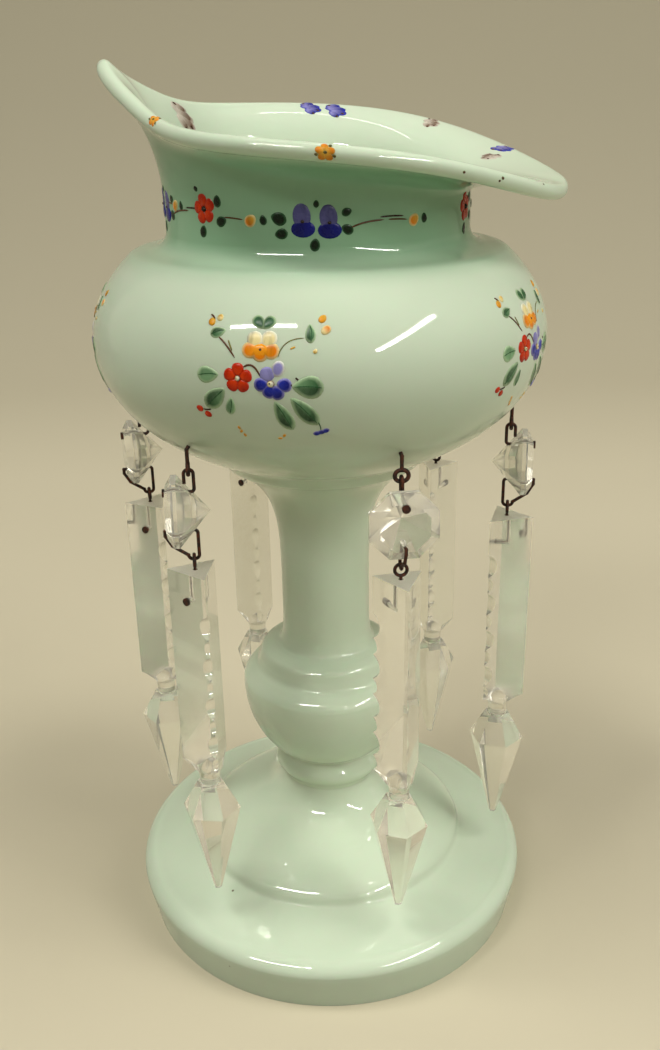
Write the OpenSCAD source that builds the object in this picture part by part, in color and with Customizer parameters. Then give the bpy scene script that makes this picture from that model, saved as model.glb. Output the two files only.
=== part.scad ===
// Mantel lustre: a footed opaline glass vase with a leaf-shaped rim, hung with six
// drops. Each drop is an octagon button and a notched spear prism on wire links.
// All lengths are in millimetres. The foot stands on the plane z = 0, on the Z axis.

/* [Foot] */
// Radius of the ring that the foot stands on
foot_base_r = 67; // [62:0.5:70]
// Largest radius of the foot plate
foot_r = 69.5; // [66:0.5:74]
// Height of the plate's flared side
foot_side_h = 13.5; // [8:0.5:16]
// Rounding of the plate's upper edge
foot_edge_r = 4.5; // [2:0.5:6]
// Glass thickness of the foot
foot_wall = 4.5; // [3:0.1:6]
// Radius of the crease between plate and dome
dome_r = 47.5; // [42:0.5:54]
// Rise of the plate from its edge to the crease
plate_rise = 5; // [2:0.5:7]
// Height of the dome above the crease
dome_h = 24; // [18:0.5:30]
// Radius of the flat top of the dome
dome_top_r = 16.5; // [14:0.5:20]

/* [Collar] */
// Height of the glass collar between foot and stem
collar_h = 10.5; // [7:0.5:14]
// Bulge of the collar beyond the dome's top
collar_bulge = 3; // [1:0.2:5]

/* [Stem] */
// Radius of the stem where it rests on the collar
stem_foot_r = 17; // [15:0.5:20]
// Largest radius of the knop
knop_r = 29.3; // [25:0.1:33]
// Height from the collar to the knop's largest radius
knop_low_h = 27.2; // [22:0.2:34]
// Height from the largest radius to the groove under the upper tier
knop_groove_h = 10.6; // [8:0.2:13]
// Depth of that groove
knop_groove = 3.5; // [2:0.1:5]
// Height of the upper tier, from the groove to the column
knop_tier_h = 12.2; // [9:0.2:16]
// Radius of the column
column_r = 14.8; // [12.5:0.1:18]
// Height of the column and the flare that carries the bowl
column_h = 57.5; // [50:0.5:66]
// Radius of the flare under the bowl
flare_r = 30; // [25:0.5:35]
// Radius of the blown hollow in the stem
stem_bore_r = 9.5; // [6:0.1:10.5]
// Thickness of solid glass above the hollow
stem_cap = 14; // [8:0.5:20]

/* [Bowl] */
// Radius of the bowl at its widest
bowl_r = 68.8; // [64:0.1:74]
// Half height of the bowl's oval
bowl_half_h = 43; // [39:0.5:47]
// Height of the oval's centre above the flat seat
bowl_rise = 42; // [39:0.5:42.5]
// Wall thickness of the bowl
bowl_wall = 3.2; // [2.4:0.1:4]
// Thickness of the bowl's floor
bowl_floor = 4.5; // [3:0.1:6]
// Outer radius of the neck
neck_r = 45; // [40:0.5:50]
// Height of the neck's top above the widest line
neck_rise = 41; // [38:0.5:45]
// Wall thickness of the neck
neck_wall = 3; // [2.4:0.1:4]
// Reach of the hollow curve between bowl and neck
neck_fillet = 6; // [3:0.5:8]

/* [Rim] */
// Radius of the rim at front and back
rim_r = 60; // [54:0.5:66]
// Height of the rim above the neck
rim_h = 21; // [16:0.5:26]
// Height difference between back and middle of the rim
rim_tilt = 3.4; // [0:0.1:6]
// Drop of the right-hand tip
tip_droop = 19; // [10:0.5:21]
// Extra reach of the right-hand tip
tip_reach = 13.5; // [6:0.5:16]
// Rise of the left-hand tip
tip_rise = 15.5; // [6:0.5:18]
// Narrowing of the rim on the left, beside its tip
rim_pinch = 12; // [0:0.5:13]
// Reach of the left-hand tip beyond the narrowing
peak_reach = 13.5; // [0:0.5:15]
// Thickness of the rolled lip
lip_d = 4.4; // [3.2:0.1:5.5]

/* [Hook] */
// Radius of the ring of drilled holes, on the bowl's outside
hole_ring_r = 58.8; // [56:0.1:61]
// Wire radius of the hook
hook_wire_r = 0.55; // [0.4:0.05:0.55]
// Running clearance of the hook in its hole
hook_clear = 0.08; // [0.04:0.01:0.1]
// Wire radius of the flattened eye
eye_wire_r = 0.6; // [0.6:0.02:0.7]
// Radius of the eye, to the middle of its wire
eye_r = 1.6; // [1.5:0.05:2]
// Straight length across the eye
eye_flat = 0.6; // [0.4:0.1:1]
// Length of hook outside the bowl, to its elbow
hook_stub = 1.2; // [0.9:0.1:2]
// Length of hook between its elbow and the eye
hook_neck = 3.9; // [2.5:0.1:6]
// Distance of the tail from the bowl's inner wall
tail_lift = 1.3; // [1.1:0.1:2]
// Length of the tail turned up inside the bowl
hook_tail = 3.5; // [2:0.1:5]

/* [Links] */
// Radius of the pin wire
wire_r = 0.5; // [0.4:0.02:0.54]
// Radius of the wire below the prism ring
shank_r = 0.45; // [0.35:0.02:0.48]
// Gap between linked wires at rest
link_gap = 0.25; // [0.15:0.05:0.35]
// Bend radius where a pin turns
pin_bend = 1; // [0.8:0.05:1.2]
// Radius of a pin's flat head
head_r = 1.2; // [0.9:0.05:1.4]
// Thickness of a pin's flat head
head_h = 0.7; // [0.4:0.05:1]
// Clearance of a pin in its glass hole
pin_clear = 0.25; // [0.1:0.05:0.35]
// Distance from the button's lower edge to the lower link
lower_reach = 5.1; // [4.4:0.1:7]
// Radius of the prism ring, to the middle of its wire
ring_r = 1.75; // [1.6:0.05:2.2]
// Length of wire between the ring and the prism
ring_neck = 1.15; // [0.8:0.05:2]

/* [Octagon button] */
// Size across the flats
button_w = 19.4; // [17:0.2:22]
// Thickness of the girdle
button_girdle = 1.6; // [1:0.1:2.4]
// Width of the bevel round the table
button_bevel = 2.8; // [2:0.1:3]
// Depth of the bevel
button_bevel_h = 1.8; // [1:0.1:2.6]
// Depth of the pointed back
button_back_h = 9.2; // [7:0.2:10]
// Distance between the two holes
button_hole_pitch = 11.6; // [10.6:0.1:12]
// Distance from the upper link to the button's upper edge
button_gap = 1.4; // [1:0.1:2.4]
// Distance of the girdle in front of the hanging line
button_set = 3.6; // [3:0.1:4]

/* [Spear prism] */
// Side of the triangular bar
bar_side = 14.5; // [12.5:0.1:16]
// Length of the bar
bar_len = 71.5; // [66:0.5:78]
// Depth of the cross hole below the top face
cross_depth = 8.7; // [7:0.1:10]
// Depth of the first notch below the top face
notch_start = 12.5; // [11:0.5:15]
// Spacing of the notches
notch_pitch = 6.75; // [6.5:0.05:7]
// Number of notches, large and small in turn
notch_count = 8; // [4:1:8]
// Radius of a large notch
notch_large_r = 4.5; // [4:0.1:5]
// Depth of a large notch
notch_large_depth = 2.6; // [1.8:0.1:3.2]
// Radius of a small notch
notch_small_r = 3.2; // [2.8:0.1:3.6]
// Depth of a small notch
notch_small_depth = 1.6; // [1:0.1:2.2]
// Radius of the scooped end of the bar
scoop_r = 6; // [5.5:0.1:6.4]
// Radius of the neck between bar and spear
prism_neck_r = 3.2; // [2.8:0.1:3.6]
// Length of the neck
prism_neck_h = 2; // [1:0.1:3]
// Radius of the spear across its corners
spear_r = 9.2; // [8:0.1:10]
// Radius of the spear's flat crown
crown_r = 4; // [3.7:0.1:5]
// Height of the crown facets
crown_h = 9.5; // [7:0.5:12]
// Length of the long facets
spear_len = 32.5; // [28:0.5:34]
// Radius of the blunt tip
tip_r = 1.3; // [0.8:0.1:2]
// Turn of each prism on its wire, in degrees
prism_twist = [185, 171, 25, 105, 52, 48]; // [-360:1:360]

/* [Drops] */
// Direction of the first drop from the front, in degrees
first_drop = 20.8; // [0:0.1:60]
// Shift of each drop from its even place in the ring, in degrees
drop_shift = [0, 0, -5, 7, 0, 0]; // [-8:0.5:8]
// Turn of each button from the radius, in degrees
button_twist = [-15, 0, 0, 0, 25, -45]; // [-50:1:50]

/* [Hidden] */
$fn = 64;
drop_count = 6;
curve_steps = 14;
oval_steps = 22;
lip_turns = 120;
lip_steps = 8;
lip_round_steps = 6;
opaline = [0.73, 0.84, 0.77];
crystal = [0.93, 0.92, 0.87, 0.55];
iron = [0.17, 0.11, 0.09];

// Share of a corner's radius at which a curve's handle makes it nearly round
round_share = 0.55;
// Depth that a cutting tool runs on past a face
cut_past = 1;

// Shape of the rim: width in degrees and sharpness of its bumps
reach_bump = [36, 1.5];
droop_bump = [51.5, 1.7];
rise_bump = [21, 1.2];
pinch_bump = [60, 2];
peak_bump = [18.5, 1.5];
// Direction of the deepest droop, in degrees
droop_turn = -7;
// The lip's curve starts upright: its lean, its lift and its share of the rim's height
lip_lean = 1.5;
lip_lift = 6;
lip_share = 0.5;
// Depth of the lip's root in the neck wall, and how much thinner it is than that wall
lip_root = 3;
lip_seam = 0.1;

// Heights of the glass pieces, each standing on the one below
plate_top = foot_side_h + foot_edge_r;
dome_base = plate_top + plate_rise;
collar_z = dome_base + dome_h;
stem_z = collar_z + collar_h;
knop_z = stem_z + knop_low_h;
groove_z = knop_z + knop_groove_h;
column_z = groove_z + knop_tier_h;
bowl_z = column_z + column_h;
bowl_mid = bowl_z + bowl_rise;
neck_z = bowl_mid + neck_rise;

// Handles of the dome's curve: lean at the crease, sweep at the top, shares of its height
dome_lean = 1;
dome_sweep = 3.5;
dome_shares = [0.42, 0.33];
inner_edge_share = 0.4;

// Handles of the collar's and the knop's curves, as shares of their heights
collar_shares = [0.15, 0.8];
knop_low_shares = [0.04, 0.53];
knop_low_reach = [5.5, -0.8];
knop_high_shares = [0.5, 0.85];
knop_high_share_in = 0.25;
tier_shares = [0.24, 0.36, 0.5, 0.63, 0.75];
tier_reach = [0.5, -2];
tier_knee = 0.5;
tier_sweep = 2.4;
// Power of the curve by which the column widens to the flare
flare_power = 6;

// The bowl's seat blends into its oval at this radius
seat_blend = 6;
seat_blend_r = flare_r + seat_blend;
// Handles of the hollow curve between bowl and neck, as shares of its reach
fillet_shares = [0.65, 0.7, 1.4];
fillet_r = neck_r + neck_fillet;
inner_r = bowl_r - bowl_wall;
inner_half_h = bowl_half_h - bowl_wall;
neck_in_r = neck_r - neck_wall;
floor_z = bowl_z + bowl_floor;

// The hook's hole stands square to the bowl's wall
elbow_share = 1.12;
hole_sin = sqrt(1 - pow(hole_ring_r / bowl_r, 2));
hole_z = bowl_mid - bowl_half_h * hole_sin;
hole_tilt = atan(bowl_r / bowl_half_h * hole_sin * bowl_r / hole_ring_r);
hole_r = hook_wire_r + hook_clear;
hook_turn = 90 - hole_tilt;
hook_len = hook_stub + bowl_wall + tail_lift;
elbow_r = hook_wire_r * elbow_share;
drop_r = hole_ring_r + hook_stub * cos(hole_tilt);
elbow_z = hole_z - hook_stub * sin(hole_tilt);

// Upper link: the pin's hairpin runs round the straight bottom of the eye
upper_pitch = eye_wire_r + wire_r + link_gap;
upper_z = elbow_z - hook_neck - 2 * eye_r;
button_z = upper_z - button_gap - button_w / 2;
upper_hole_z = button_z + button_hole_pitch / 2;
lower_hole_z = button_z - button_hole_pitch / 2;
table_x = button_set + button_girdle + button_bevel_h;
pin_hole_r = wire_r + pin_clear;
button_sides = 8;
hairpin_tail = 2.8;

// Lower link: the prism ring hangs in the straight bottom of the lower pin
lower_pitch = 2 * wire_r + link_gap;
lower_flat = 0.6;
lower_z = button_z - button_w / 2 - lower_reach;
lower_leg_x = lower_flat / 2 + lower_pitch;
// The lower pin comes out in front and runs down over the bevel, clear of the glass
front_stand = wire_r + link_gap;
front_x = table_x + front_stand;
front_bends = [
    [lower_leg_x, lower_z + lower_pitch],
    [button_set + button_girdle + front_stand, button_z - button_w / 2 - front_stand],
    [front_x, button_z - button_w / 2 + button_bevel - front_stand / 2],
    [front_x, lower_hole_z]
];
ring_z = lower_z - (ring_r - lower_pitch);
prism_top = ring_z - ring_r - ring_neck;

// Prism
bar_corner = bar_side / sqrt(3);
bar_face = bar_corner / 2;
bar_end = prism_top - bar_len;
crown_z = bar_end - prism_neck_h;
shoulder_z = crown_z - crown_h;
tip_z = shoulder_z - spear_len;
cross_z = prism_top - cross_depth;
cross_hole_r = wire_r + pin_clear;
bar_sides = 3;
spear_sides = 6;
// Depth of the neck's ends in bar and spear, and how much thinner it is than the scooped end
neck_sink = 1;
neck_seam = 0.05;

drop_pieces = ["hook", "upper_pin", "octagon", "lower_pin", "prism_wire", "prism"];

// Point at t on the cubic curve with four control points
function cubic(p, t) =
    pow(1 - t, 3) * p[0] + 3 * t * pow(1 - t, 2) * p[1]
    + 3 * t * t * (1 - t) * p[2] + t * t * t * p[3];

// Points along a cubic curve, without its first point
function curve(p) = [for (i = [1:curve_steps]) cubic(p, i / curve_steps)];

// Height of an oval of radius a and half height b at radius r, from its centre
function oval_h(r, a, b) = b * sqrt(1 - pow(r / a, 2));

// Points of an oval about the bowl's centre, from angle u0 to u1
function oval(a, b, u0, u1) =
    [for (i = [0:oval_steps]) let (u = u0 + (u1 - u0) * i / oval_steps)
        [a * cos(u), bowl_mid + b * sin(u)]];

// Direction of drop k round the axis, where the front is -90 degrees
function drop_angle(k) = first_drop - 90 + (k - 1) * 360 / drop_count + drop_shift[k - 1];

// Foot profile, from the outer edge up to the dome's flat top
function foot_outer(shift) =
    let (r = foot_r - shift, edge = foot_edge_r - shift * inner_edge_share, top = plate_top - shift)
    let (crease = [dome_r - shift, dome_base - shift], handle = edge * (1 - round_share))
    concat(
        [[foot_base_r - shift, 0], [r, top - edge]],
        curve([[r, top - edge], [r, top - handle], [r - edge + handle, top], [r - edge, top]]),
        [crease],
        curve([
            crease,
            [crease[0] - dome_lean, crease[1] + dome_h * dome_shares[0]],
            [dome_top_r + dome_sweep - shift, crease[1] + dome_h * dome_shares[1]],
            [dome_top_r - shift, collar_z]
        ])
    );

module foot() {
    color(opaline) rotate_extrude()
        difference() {
            polygon(concat(foot_outer(0), [[0, collar_z], [0, 0]]));
            polygon(concat(
                [[0, -cut_past], [foot_base_r - foot_wall, -cut_past]],
                foot_outer(foot_wall),
                [[0, collar_z]]
            ));
            translate([0, collar_z - foot_wall]) square([stem_bore_r, 2 * foot_wall]);
        }
}

module collar() {
    reach = dome_top_r + collar_bulge;
    color(opaline) rotate_extrude()
        polygon(concat(
            [[stem_bore_r, stem_z], [stem_bore_r, collar_z], [dome_top_r, collar_z]],
            curve([
                [dome_top_r, collar_z],
                [reach, collar_z + collar_h * collar_shares[0]],
                [reach, collar_z + collar_h * collar_shares[1]],
                [stem_foot_r, stem_z]
            ])
        ));
}

// Radius of the column at a share t of its height
function column_at(t) = column_r + (flare_r - column_r) * pow(t, flare_power);

module stem() {
    groove_r = knop_r - knop_groove;
    tier = [for (share = tier_shares) groove_z + knop_tier_h * share];
    knee = [column_r + (groove_r - column_r) * tier_knee, tier[2]];
    color(opaline) difference() {
        rotate_extrude()
            polygon(concat(
                [[0, stem_z], [stem_foot_r, stem_z]],
                curve([
                    [stem_foot_r, stem_z],
                    [stem_foot_r + knop_low_reach[0], stem_z + knop_low_h * knop_low_shares[0]],
                    [knop_r + knop_low_reach[1], stem_z + knop_low_h * knop_low_shares[1]],
                    [knop_r, knop_z]
                ]),
                curve([
                    [knop_r, knop_z],
                    [knop_r, knop_z + knop_groove_h * knop_high_shares[0]],
                    [knop_r - knop_groove * knop_high_share_in, knop_z + knop_groove_h * knop_high_shares[1]],
                    [groove_r, groove_z]
                ]),
                curve([
                    [groove_r, groove_z],
                    [groove_r + tier_reach[0], tier[0]],
                    [groove_r + tier_reach[1], tier[1]],
                    knee
                ]),
                curve([
                    knee,
                    [column_r + tier_sweep, tier[3]],
                    [column_r, tier[4]],
                    [column_r, column_z]
                ]),
                [for (i = [1:oval_steps]) let (t = i / oval_steps)
                    [column_at(t), column_z + column_h * t]],
                [[0, bowl_z]]
            ));
        translate([0, 0, stem_z - cut_past])
            cylinder(r = stem_bore_r, h = bowl_z - stem_cap - stem_z + cut_past);
    }
}

// How far angle a lies from angle b, in degrees
function turn_between(a, b) = abs((a - b + 540) % 360 - 180);

// Bell-shaped bump of the given width and sharpness
function bump(d, shape) = exp(-pow(d / shape[0], shape[1]));

// Radius and height of the middle of the lip's edge at direction a
function rim_point(a) = let (right = turn_between(a, 0), left = turn_between(a, 180)) [
    rim_r + tip_reach * bump(right, reach_bump) - rim_pinch * bump(left, pinch_bump)
        + peak_reach * bump(left, peak_bump) - lip_d / 2,
    neck_z + rim_h + rim_tilt * sin(a) - tip_droop * bump(turn_between(a, droop_turn), droop_bump)
        + tip_rise * bump(left, rise_bump) - lip_d / 2
];

// Point and direction of the lip's middle line at direction a and share t
function lip_mid(a, t) =
    let (p0 = [neck_r - neck_wall / 2, neck_z], p2 = rim_point(a))
    let (p1 = [p0[0] + lip_lean, neck_z + lip_lift + lip_share * (p2[1] - neck_z)])
    [
        pow(1 - t, 2) * p0 + 2 * t * (1 - t) * p1 + t * t * p2,
        2 * (1 - t) * (p1 - p0) + 2 * t * (p2 - p1)
    ];

// Point beside the lip's middle line, to the outside for side 1
function lip_side(a, t, side) =
    let (m = lip_mid(a, t), d = m[1] / norm(m[1]))
    let (half = (neck_wall - lip_seam + (lip_d - neck_wall) * t * t) / 2)
    m[0] + side * half * [d[1], -d[0]];

// Closed outline of the lip at direction a, its root sunk into the neck wall
function lip_outline(a) =
    let (end = lip_mid(a, 1), d = end[1] / norm(end[1]))
    let (half = (lip_d - lip_seam) / 2)
    concat(
        [lip_side(a, 0, -1) - [0, lip_root], lip_side(a, 0, 1) - [0, lip_root]],
        [for (i = [0:lip_steps]) lip_side(a, i / lip_steps, 1)],
        [for (i = [1:lip_round_steps - 1]) let (w = 180 * i / lip_round_steps)
            end[0] + half * (cos(w) * [d[1], -d[0]] + sin(w) * d)],
        [for (i = [lip_steps:-1:0]) lip_side(a, i / lip_steps, -1)]
    );

module lip() {
    outlines = [for (j = [0:lip_turns - 1]) let (a = 360 * j / lip_turns)
        [for (q = lip_outline(a)) [q[0] * cos(a), q[0] * sin(a), q[1]]]];
    n = len(outlines[0]);
    points = [for (ring = outlines) each ring];
    faces = [for (j = [0:lip_turns - 1]) for (i = [0:n - 1])
        let (here = j * n, next = ((j + 1) % lip_turns) * n, k = (i + 1) % n)
        each [[here + i, here + k, next + k], [here + i, next + k, next + i]]];
    polyhedron(points, faces, convexity = 6);
}

module bowl() {
    seat_h = oval_h(seat_blend_r, bowl_r, bowl_half_h);
    top_h = oval_h(fillet_r, bowl_r, bowl_half_h);
    slope = pow(bowl_half_h / bowl_r, 2) * fillet_r / top_h;
    lean = neck_fillet * fillet_shares[0];
    floor_u = asin((floor_z - bowl_mid) / inner_half_h);
    color(opaline) difference() {
        union() {
            rotate_extrude()
                polygon(concat(
                    [[0, bowl_z], [flare_r, bowl_z]],
                    oval(bowl_r, bowl_half_h, -acos(seat_blend_r / bowl_r), acos(fillet_r / bowl_r)),
                    curve([
                        [fillet_r, bowl_mid + top_h],
                        [fillet_r - lean, bowl_mid + top_h + lean * slope],
                        [neck_r, bowl_mid + top_h + neck_fillet * fillet_shares[1]],
                        [neck_r, bowl_mid + top_h + neck_fillet * fillet_shares[2]]
                    ]),
                    [[neck_r, neck_z], [neck_in_r, neck_z]],
                    oval(inner_r, inner_half_h, acos(neck_in_r / inner_r), floor_u),
                    [[0, floor_z]]
                ));
            lip();
        }
        for (k = [1:drop_count])
            rotate([0, 0, drop_angle(k)])
                translate([hole_ring_r, 0, hole_z])
                    rotate([0, -hook_turn, 0])
                        translate([0, 0, -2 * bowl_wall]) cylinder(r = hole_r, h = 5 * bowl_wall);
    }
}

// Places children on the hanging line of drop k, with X pointing outwards
module at_drop(k) {
    rotate([0, 0, drop_angle(k)]) translate([drop_r, 0, 0]) children();
}

// Places children on the hanging line of drop k, with X pointing the way its button faces
module at_button(k) {
    at_drop(k) rotate([0, 0, button_twist[k - 1]]) children();
}

// Wire arc in the radial plane, from one angle over the given turn
module radial_arc(bend, from, turn, wire) {
    rotate([90, 0, 0]) rotate([0, 0, from])
        rotate_extrude(angle = turn) translate([bend, 0]) circle(wire);
}

// Wire arc in the plane across the radius, from one angle over the given turn
module cross_arc(bend, from, turn, wire) {
    rotate([90, 0, 90]) rotate([0, 0, from])
        rotate_extrude(angle = turn) translate([bend, 0]) circle(wire);
}

// Wire along X from x0 to x1
module wire_x(x0, x1, wire) {
    translate([x0, 0, 0]) rotate([0, 90, 0]) cylinder(r = wire, h = x1 - x0);
}

// Wire along Y, centred
module wire_y(length, wire) {
    rotate([90, 0, 0]) cylinder(r = wire, h = length, center = true);
}

// Wire between two points of the radial plane, each given as X and Z
module wire_between(a, b, wire) {
    run = b - a;
    translate([a[0], 0, a[1]]) rotate([0, atan2(run[0], run[1]), 0]) cylinder(r = wire, h = norm(run));
}

// Upright wire from z0 to z1
module wire_z(z0, z1, wire) {
    translate([0, 0, z0]) cylinder(r = wire, h = z1 - z0);
}

module hook(k) {
    color(iron) at_button(k) {
        for (side = [-1, 1])
            translate([0, side * eye_flat / 2, upper_z + eye_r]) cross_arc(eye_r, -90 * side, 180, eye_wire_r);
        for (level = [upper_z, upper_z + 2 * eye_r])
            translate([0, 0, level]) wire_y(eye_flat, eye_wire_r);
    }
    color(iron) at_drop(k) {
        wire_z(upper_z + 2 * eye_r, elbow_z, hook_wire_r);
        translate([0, 0, elbow_z]) sphere(elbow_r);
        translate([0, 0, elbow_z]) rotate([0, -hook_turn, 0]) {
            wire_z(0, hook_len, hook_wire_r);
            translate([0, 0, hook_len]) sphere(elbow_r);
            translate([0, 0, hook_len]) wire_x(0, hook_tail, hook_wire_r);
        }
    }
}

module upper_pin(k) {
    color(iron) at_button(k) {
        translate([0, 0, upper_z]) radial_arc(upper_pitch, 0, 180, wire_r);
        translate([upper_pitch, 0, 0]) wire_z(upper_z - hairpin_tail, upper_z, wire_r);
        translate([-upper_pitch, 0, 0]) wire_z(upper_hole_z + pin_bend, upper_z, wire_r);
        translate([pin_bend - upper_pitch, 0, upper_hole_z + pin_bend]) radial_arc(pin_bend, 180, 90, wire_r);
        translate([0, 0, upper_hole_z]) {
            wire_x(pin_bend - upper_pitch, table_x + head_h / 2, wire_r);
            wire_x(table_x, table_x + head_h, head_r);
        }
    }
}

// Cuts one facet off the button: tilted from the table, at a distance along its slope
module facet_cut(level, tilt, turn) {
    rotate([0, 0, turn]) translate([button_w / 2, 0, level]) rotate([0, tilt, 0])
        translate([-2 * button_w, -2 * button_w, 0]) cube(4 * button_w);
}

module octagon(k) {
    bevel_tilt = atan(button_bevel_h / button_bevel);
    back_tilt = atan(button_back_h / (button_w / 2));
    half_turn = 180 / button_sides;
    button_h = button_back_h + button_girdle + button_bevel_h;
    color(crystal) at_button(k) difference() {
        translate([button_set, 0, button_z]) rotate([0, 90, 0]) difference() {
            translate([0, 0, -button_back_h]) rotate([0, 0, half_turn])
                cylinder(d = button_w / cos(half_turn), h = button_h, $fn = button_sides);
            for (i = [0:button_sides - 1]) {
                facet_cut(button_girdle, bevel_tilt, 2 * half_turn * i);
                facet_cut(0, 180 - back_tilt, 2 * half_turn * i);
            }
        }
        for (level = [upper_hole_z, lower_hole_z])
            translate([0, 0, level]) wire_x(button_set - button_back_h, table_x + cut_past, pin_hole_r);
    }
}

module lower_pin(k) {
    color(iron) at_button(k) {
        translate([0, 0, lower_z]) wire_x(-lower_flat / 2, lower_flat / 2, wire_r);
        translate([-lower_flat / 2, 0, lower_z + lower_pitch]) radial_arc(lower_pitch, 180, 90, wire_r);
        translate([lower_flat / 2, 0, lower_z + lower_pitch]) radial_arc(lower_pitch, 270, 90, wire_r);
        for (i = [0:len(front_bends) - 2])
            wire_between(front_bends[i], front_bends[i + 1], wire_r);
        for (bend = front_bends)
            translate([bend[0], 0, bend[1]]) sphere(wire_r * elbow_share);
        translate([-lower_leg_x, 0, 0]) wire_z(lower_z + lower_pitch, lower_hole_z - pin_bend, wire_r);
        translate([pin_bend - lower_leg_x, 0, lower_hole_z - pin_bend]) radial_arc(pin_bend, 90, 90, wire_r);
        translate([0, 0, lower_hole_z]) wire_x(pin_bend - lower_leg_x, front_x, wire_r);
    }
}

module prism_wire(k) {
    color(iron) at_button(k) {
        translate([0, 0, ring_z]) cross_arc(ring_r, 0, 360, wire_r);
        rotate([0, 0, prism_twist[k - 1]]) {
            wire_z(cross_z + pin_bend, ring_z - ring_r, shank_r);
            translate([pin_bend, 0, cross_z + pin_bend]) radial_arc(pin_bend, 180, 90, shank_r);
            translate([0, 0, cross_z]) {
                wire_x(pin_bend, bar_face + head_h / 2, shank_r);
                wire_x(bar_face, bar_face + head_h, head_r);
            }
        }
    }
}

// Cuts a notch of the given radius and depth across the prism's notched corner
module notch(radius, depth) {
    rotate([0, 0, 60]) translate([bar_corner - depth + radius, 0, 0])
        rotate([90, 0, 0]) cylinder(r = radius, h = 2 * bar_side, center = true);
}

module prism(k) {
    color(crystal) at_button(k) rotate([0, 0, prism_twist[k - 1]]) {
        difference() {
            translate([0, 0, bar_end]) linear_extrude(bar_len) rotate(180) circle(bar_corner, $fn = bar_sides);
            for (i = [0:notch_count - 1])
                translate([0, 0, prism_top - notch_start - (i + 0.5) * notch_pitch])
                    if (i % 2 == 0) notch(notch_large_r, notch_large_depth);
                    else notch(notch_small_r, notch_small_depth);
            translate([0, 0, bar_end])
                rotate_extrude() translate([prism_neck_r + scoop_r, 0]) circle(scoop_r);
            wire_z(cross_z, prism_top + cut_past, cross_hole_r);
            translate([0, 0, cross_z]) wire_x(-cross_hole_r, bar_face + cut_past, cross_hole_r);
        }
        wire_z(crown_z - neck_sink, bar_end + neck_sink, prism_neck_r - neck_seam);
        rotate_extrude($fn = spear_sides)
            polygon([
                [0, tip_z], [tip_r, tip_z], [spear_r, shoulder_z], [crown_r, crown_z], [0, crown_z]
            ]);
    }
}

bowl();
stem();
collar();
foot();
for (k = [1:drop_count]) {
    hook(k);
    upper_pin(k);
    octagon(k);
    lower_pin(k);
    prism_wire(k);
    prism(k);
}
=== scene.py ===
"""Mantel lustre of pale green opaline glass, with enamelled flowers and six cut-glass drops.

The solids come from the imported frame. The vase's four glass pieces are redrawn here as smooth
surfaces of the same sizes, the enamel is laid on them, and every other solid gets its finish.
"""

import math

import bmesh
import bpy
import numpy as np
from mathutils import Matrix, Vector


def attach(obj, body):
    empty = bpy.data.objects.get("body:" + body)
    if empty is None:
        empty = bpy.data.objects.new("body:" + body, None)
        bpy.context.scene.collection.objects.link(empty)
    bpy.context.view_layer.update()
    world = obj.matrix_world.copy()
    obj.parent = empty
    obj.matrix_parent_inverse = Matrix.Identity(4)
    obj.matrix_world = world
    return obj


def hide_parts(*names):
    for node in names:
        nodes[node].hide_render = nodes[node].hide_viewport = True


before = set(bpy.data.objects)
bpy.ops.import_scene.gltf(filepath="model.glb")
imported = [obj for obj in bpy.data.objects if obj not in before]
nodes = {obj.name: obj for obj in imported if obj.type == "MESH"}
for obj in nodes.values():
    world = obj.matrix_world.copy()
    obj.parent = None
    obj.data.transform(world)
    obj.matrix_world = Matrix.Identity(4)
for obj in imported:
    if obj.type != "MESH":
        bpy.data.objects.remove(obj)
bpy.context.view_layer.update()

MM = 0.001
DROPS = 6

# Foot, collar and stem, in millimetres
FOOT_BASE_R, FOOT_R, FOOT_SIDE = 67.0, 69.5, 13.5
FOOT_EDGE, FOOT_WALL = 4.5, 4.5
DOME_R, PLATE_RISE, DOME_H, DOME_TOP_R = 47.5, 5.0, 24.0, 16.5
COLLAR_H, COLLAR_BULGE = 10.5, 2.3
STEM_FOOT_R, KNOP_R, KNOP_LOW, KNOP_HIGH = 17.0, 29.3, 27.2, 22.8
COLUMN_R, COLUMN_H, FLARE_R, FLARE_POWER = 14.8, 57.5, 30.0, 6
BORE_R, STEM_CAP = 9.5, 14.0
PLATE_TOP = FOOT_SIDE + FOOT_EDGE
CREASE_Z = PLATE_TOP + PLATE_RISE
COLLAR_Z = CREASE_Z + DOME_H
STEM_Z = COLLAR_Z + COLLAR_H
KNOP_Z = STEM_Z + KNOP_LOW
COLUMN_Z = KNOP_Z + KNOP_HIGH
BOWL_Z = COLUMN_Z + COLUMN_H

# Handles of the foot's curves: shares of its edge and of the dome's height, and millimetres aside
EDGE_TUCK, EDGE_LOW, EDGE_HIGH = 0.4, 0.45, 0.55
DOME_IN, DOME_LOW, DOME_OUT, DOME_HIGH = 1.0, 0.42, 3.5, 0.33

# Handles of the knop's lower curve: out from the stem's foot and up, and a share of its height
ROOT_RISE, ROOT_TURN, ROOT, ROOT_LEAN = (0.0, 1.6), (2.4, 2.2), (4.4, 4.6), (8.6, 9.6)
KNOP_SWELL = 0.62

# Soft tiers of the knop: steps in and up from its widest ring
KNOP_TIERS = ((0.0, 0.0), (-0.25, 2.1), (-1.4, 4.0), (-3.3, 5.7), (-5.0, 7.1), (-5.9, 9.3),
              (-6.9, 12.3), (-8.9, 13.7), (-11.7, 14.7), (-13.1, 15.7), (-14.2, 18.9), (-14.5, 22.8))

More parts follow.
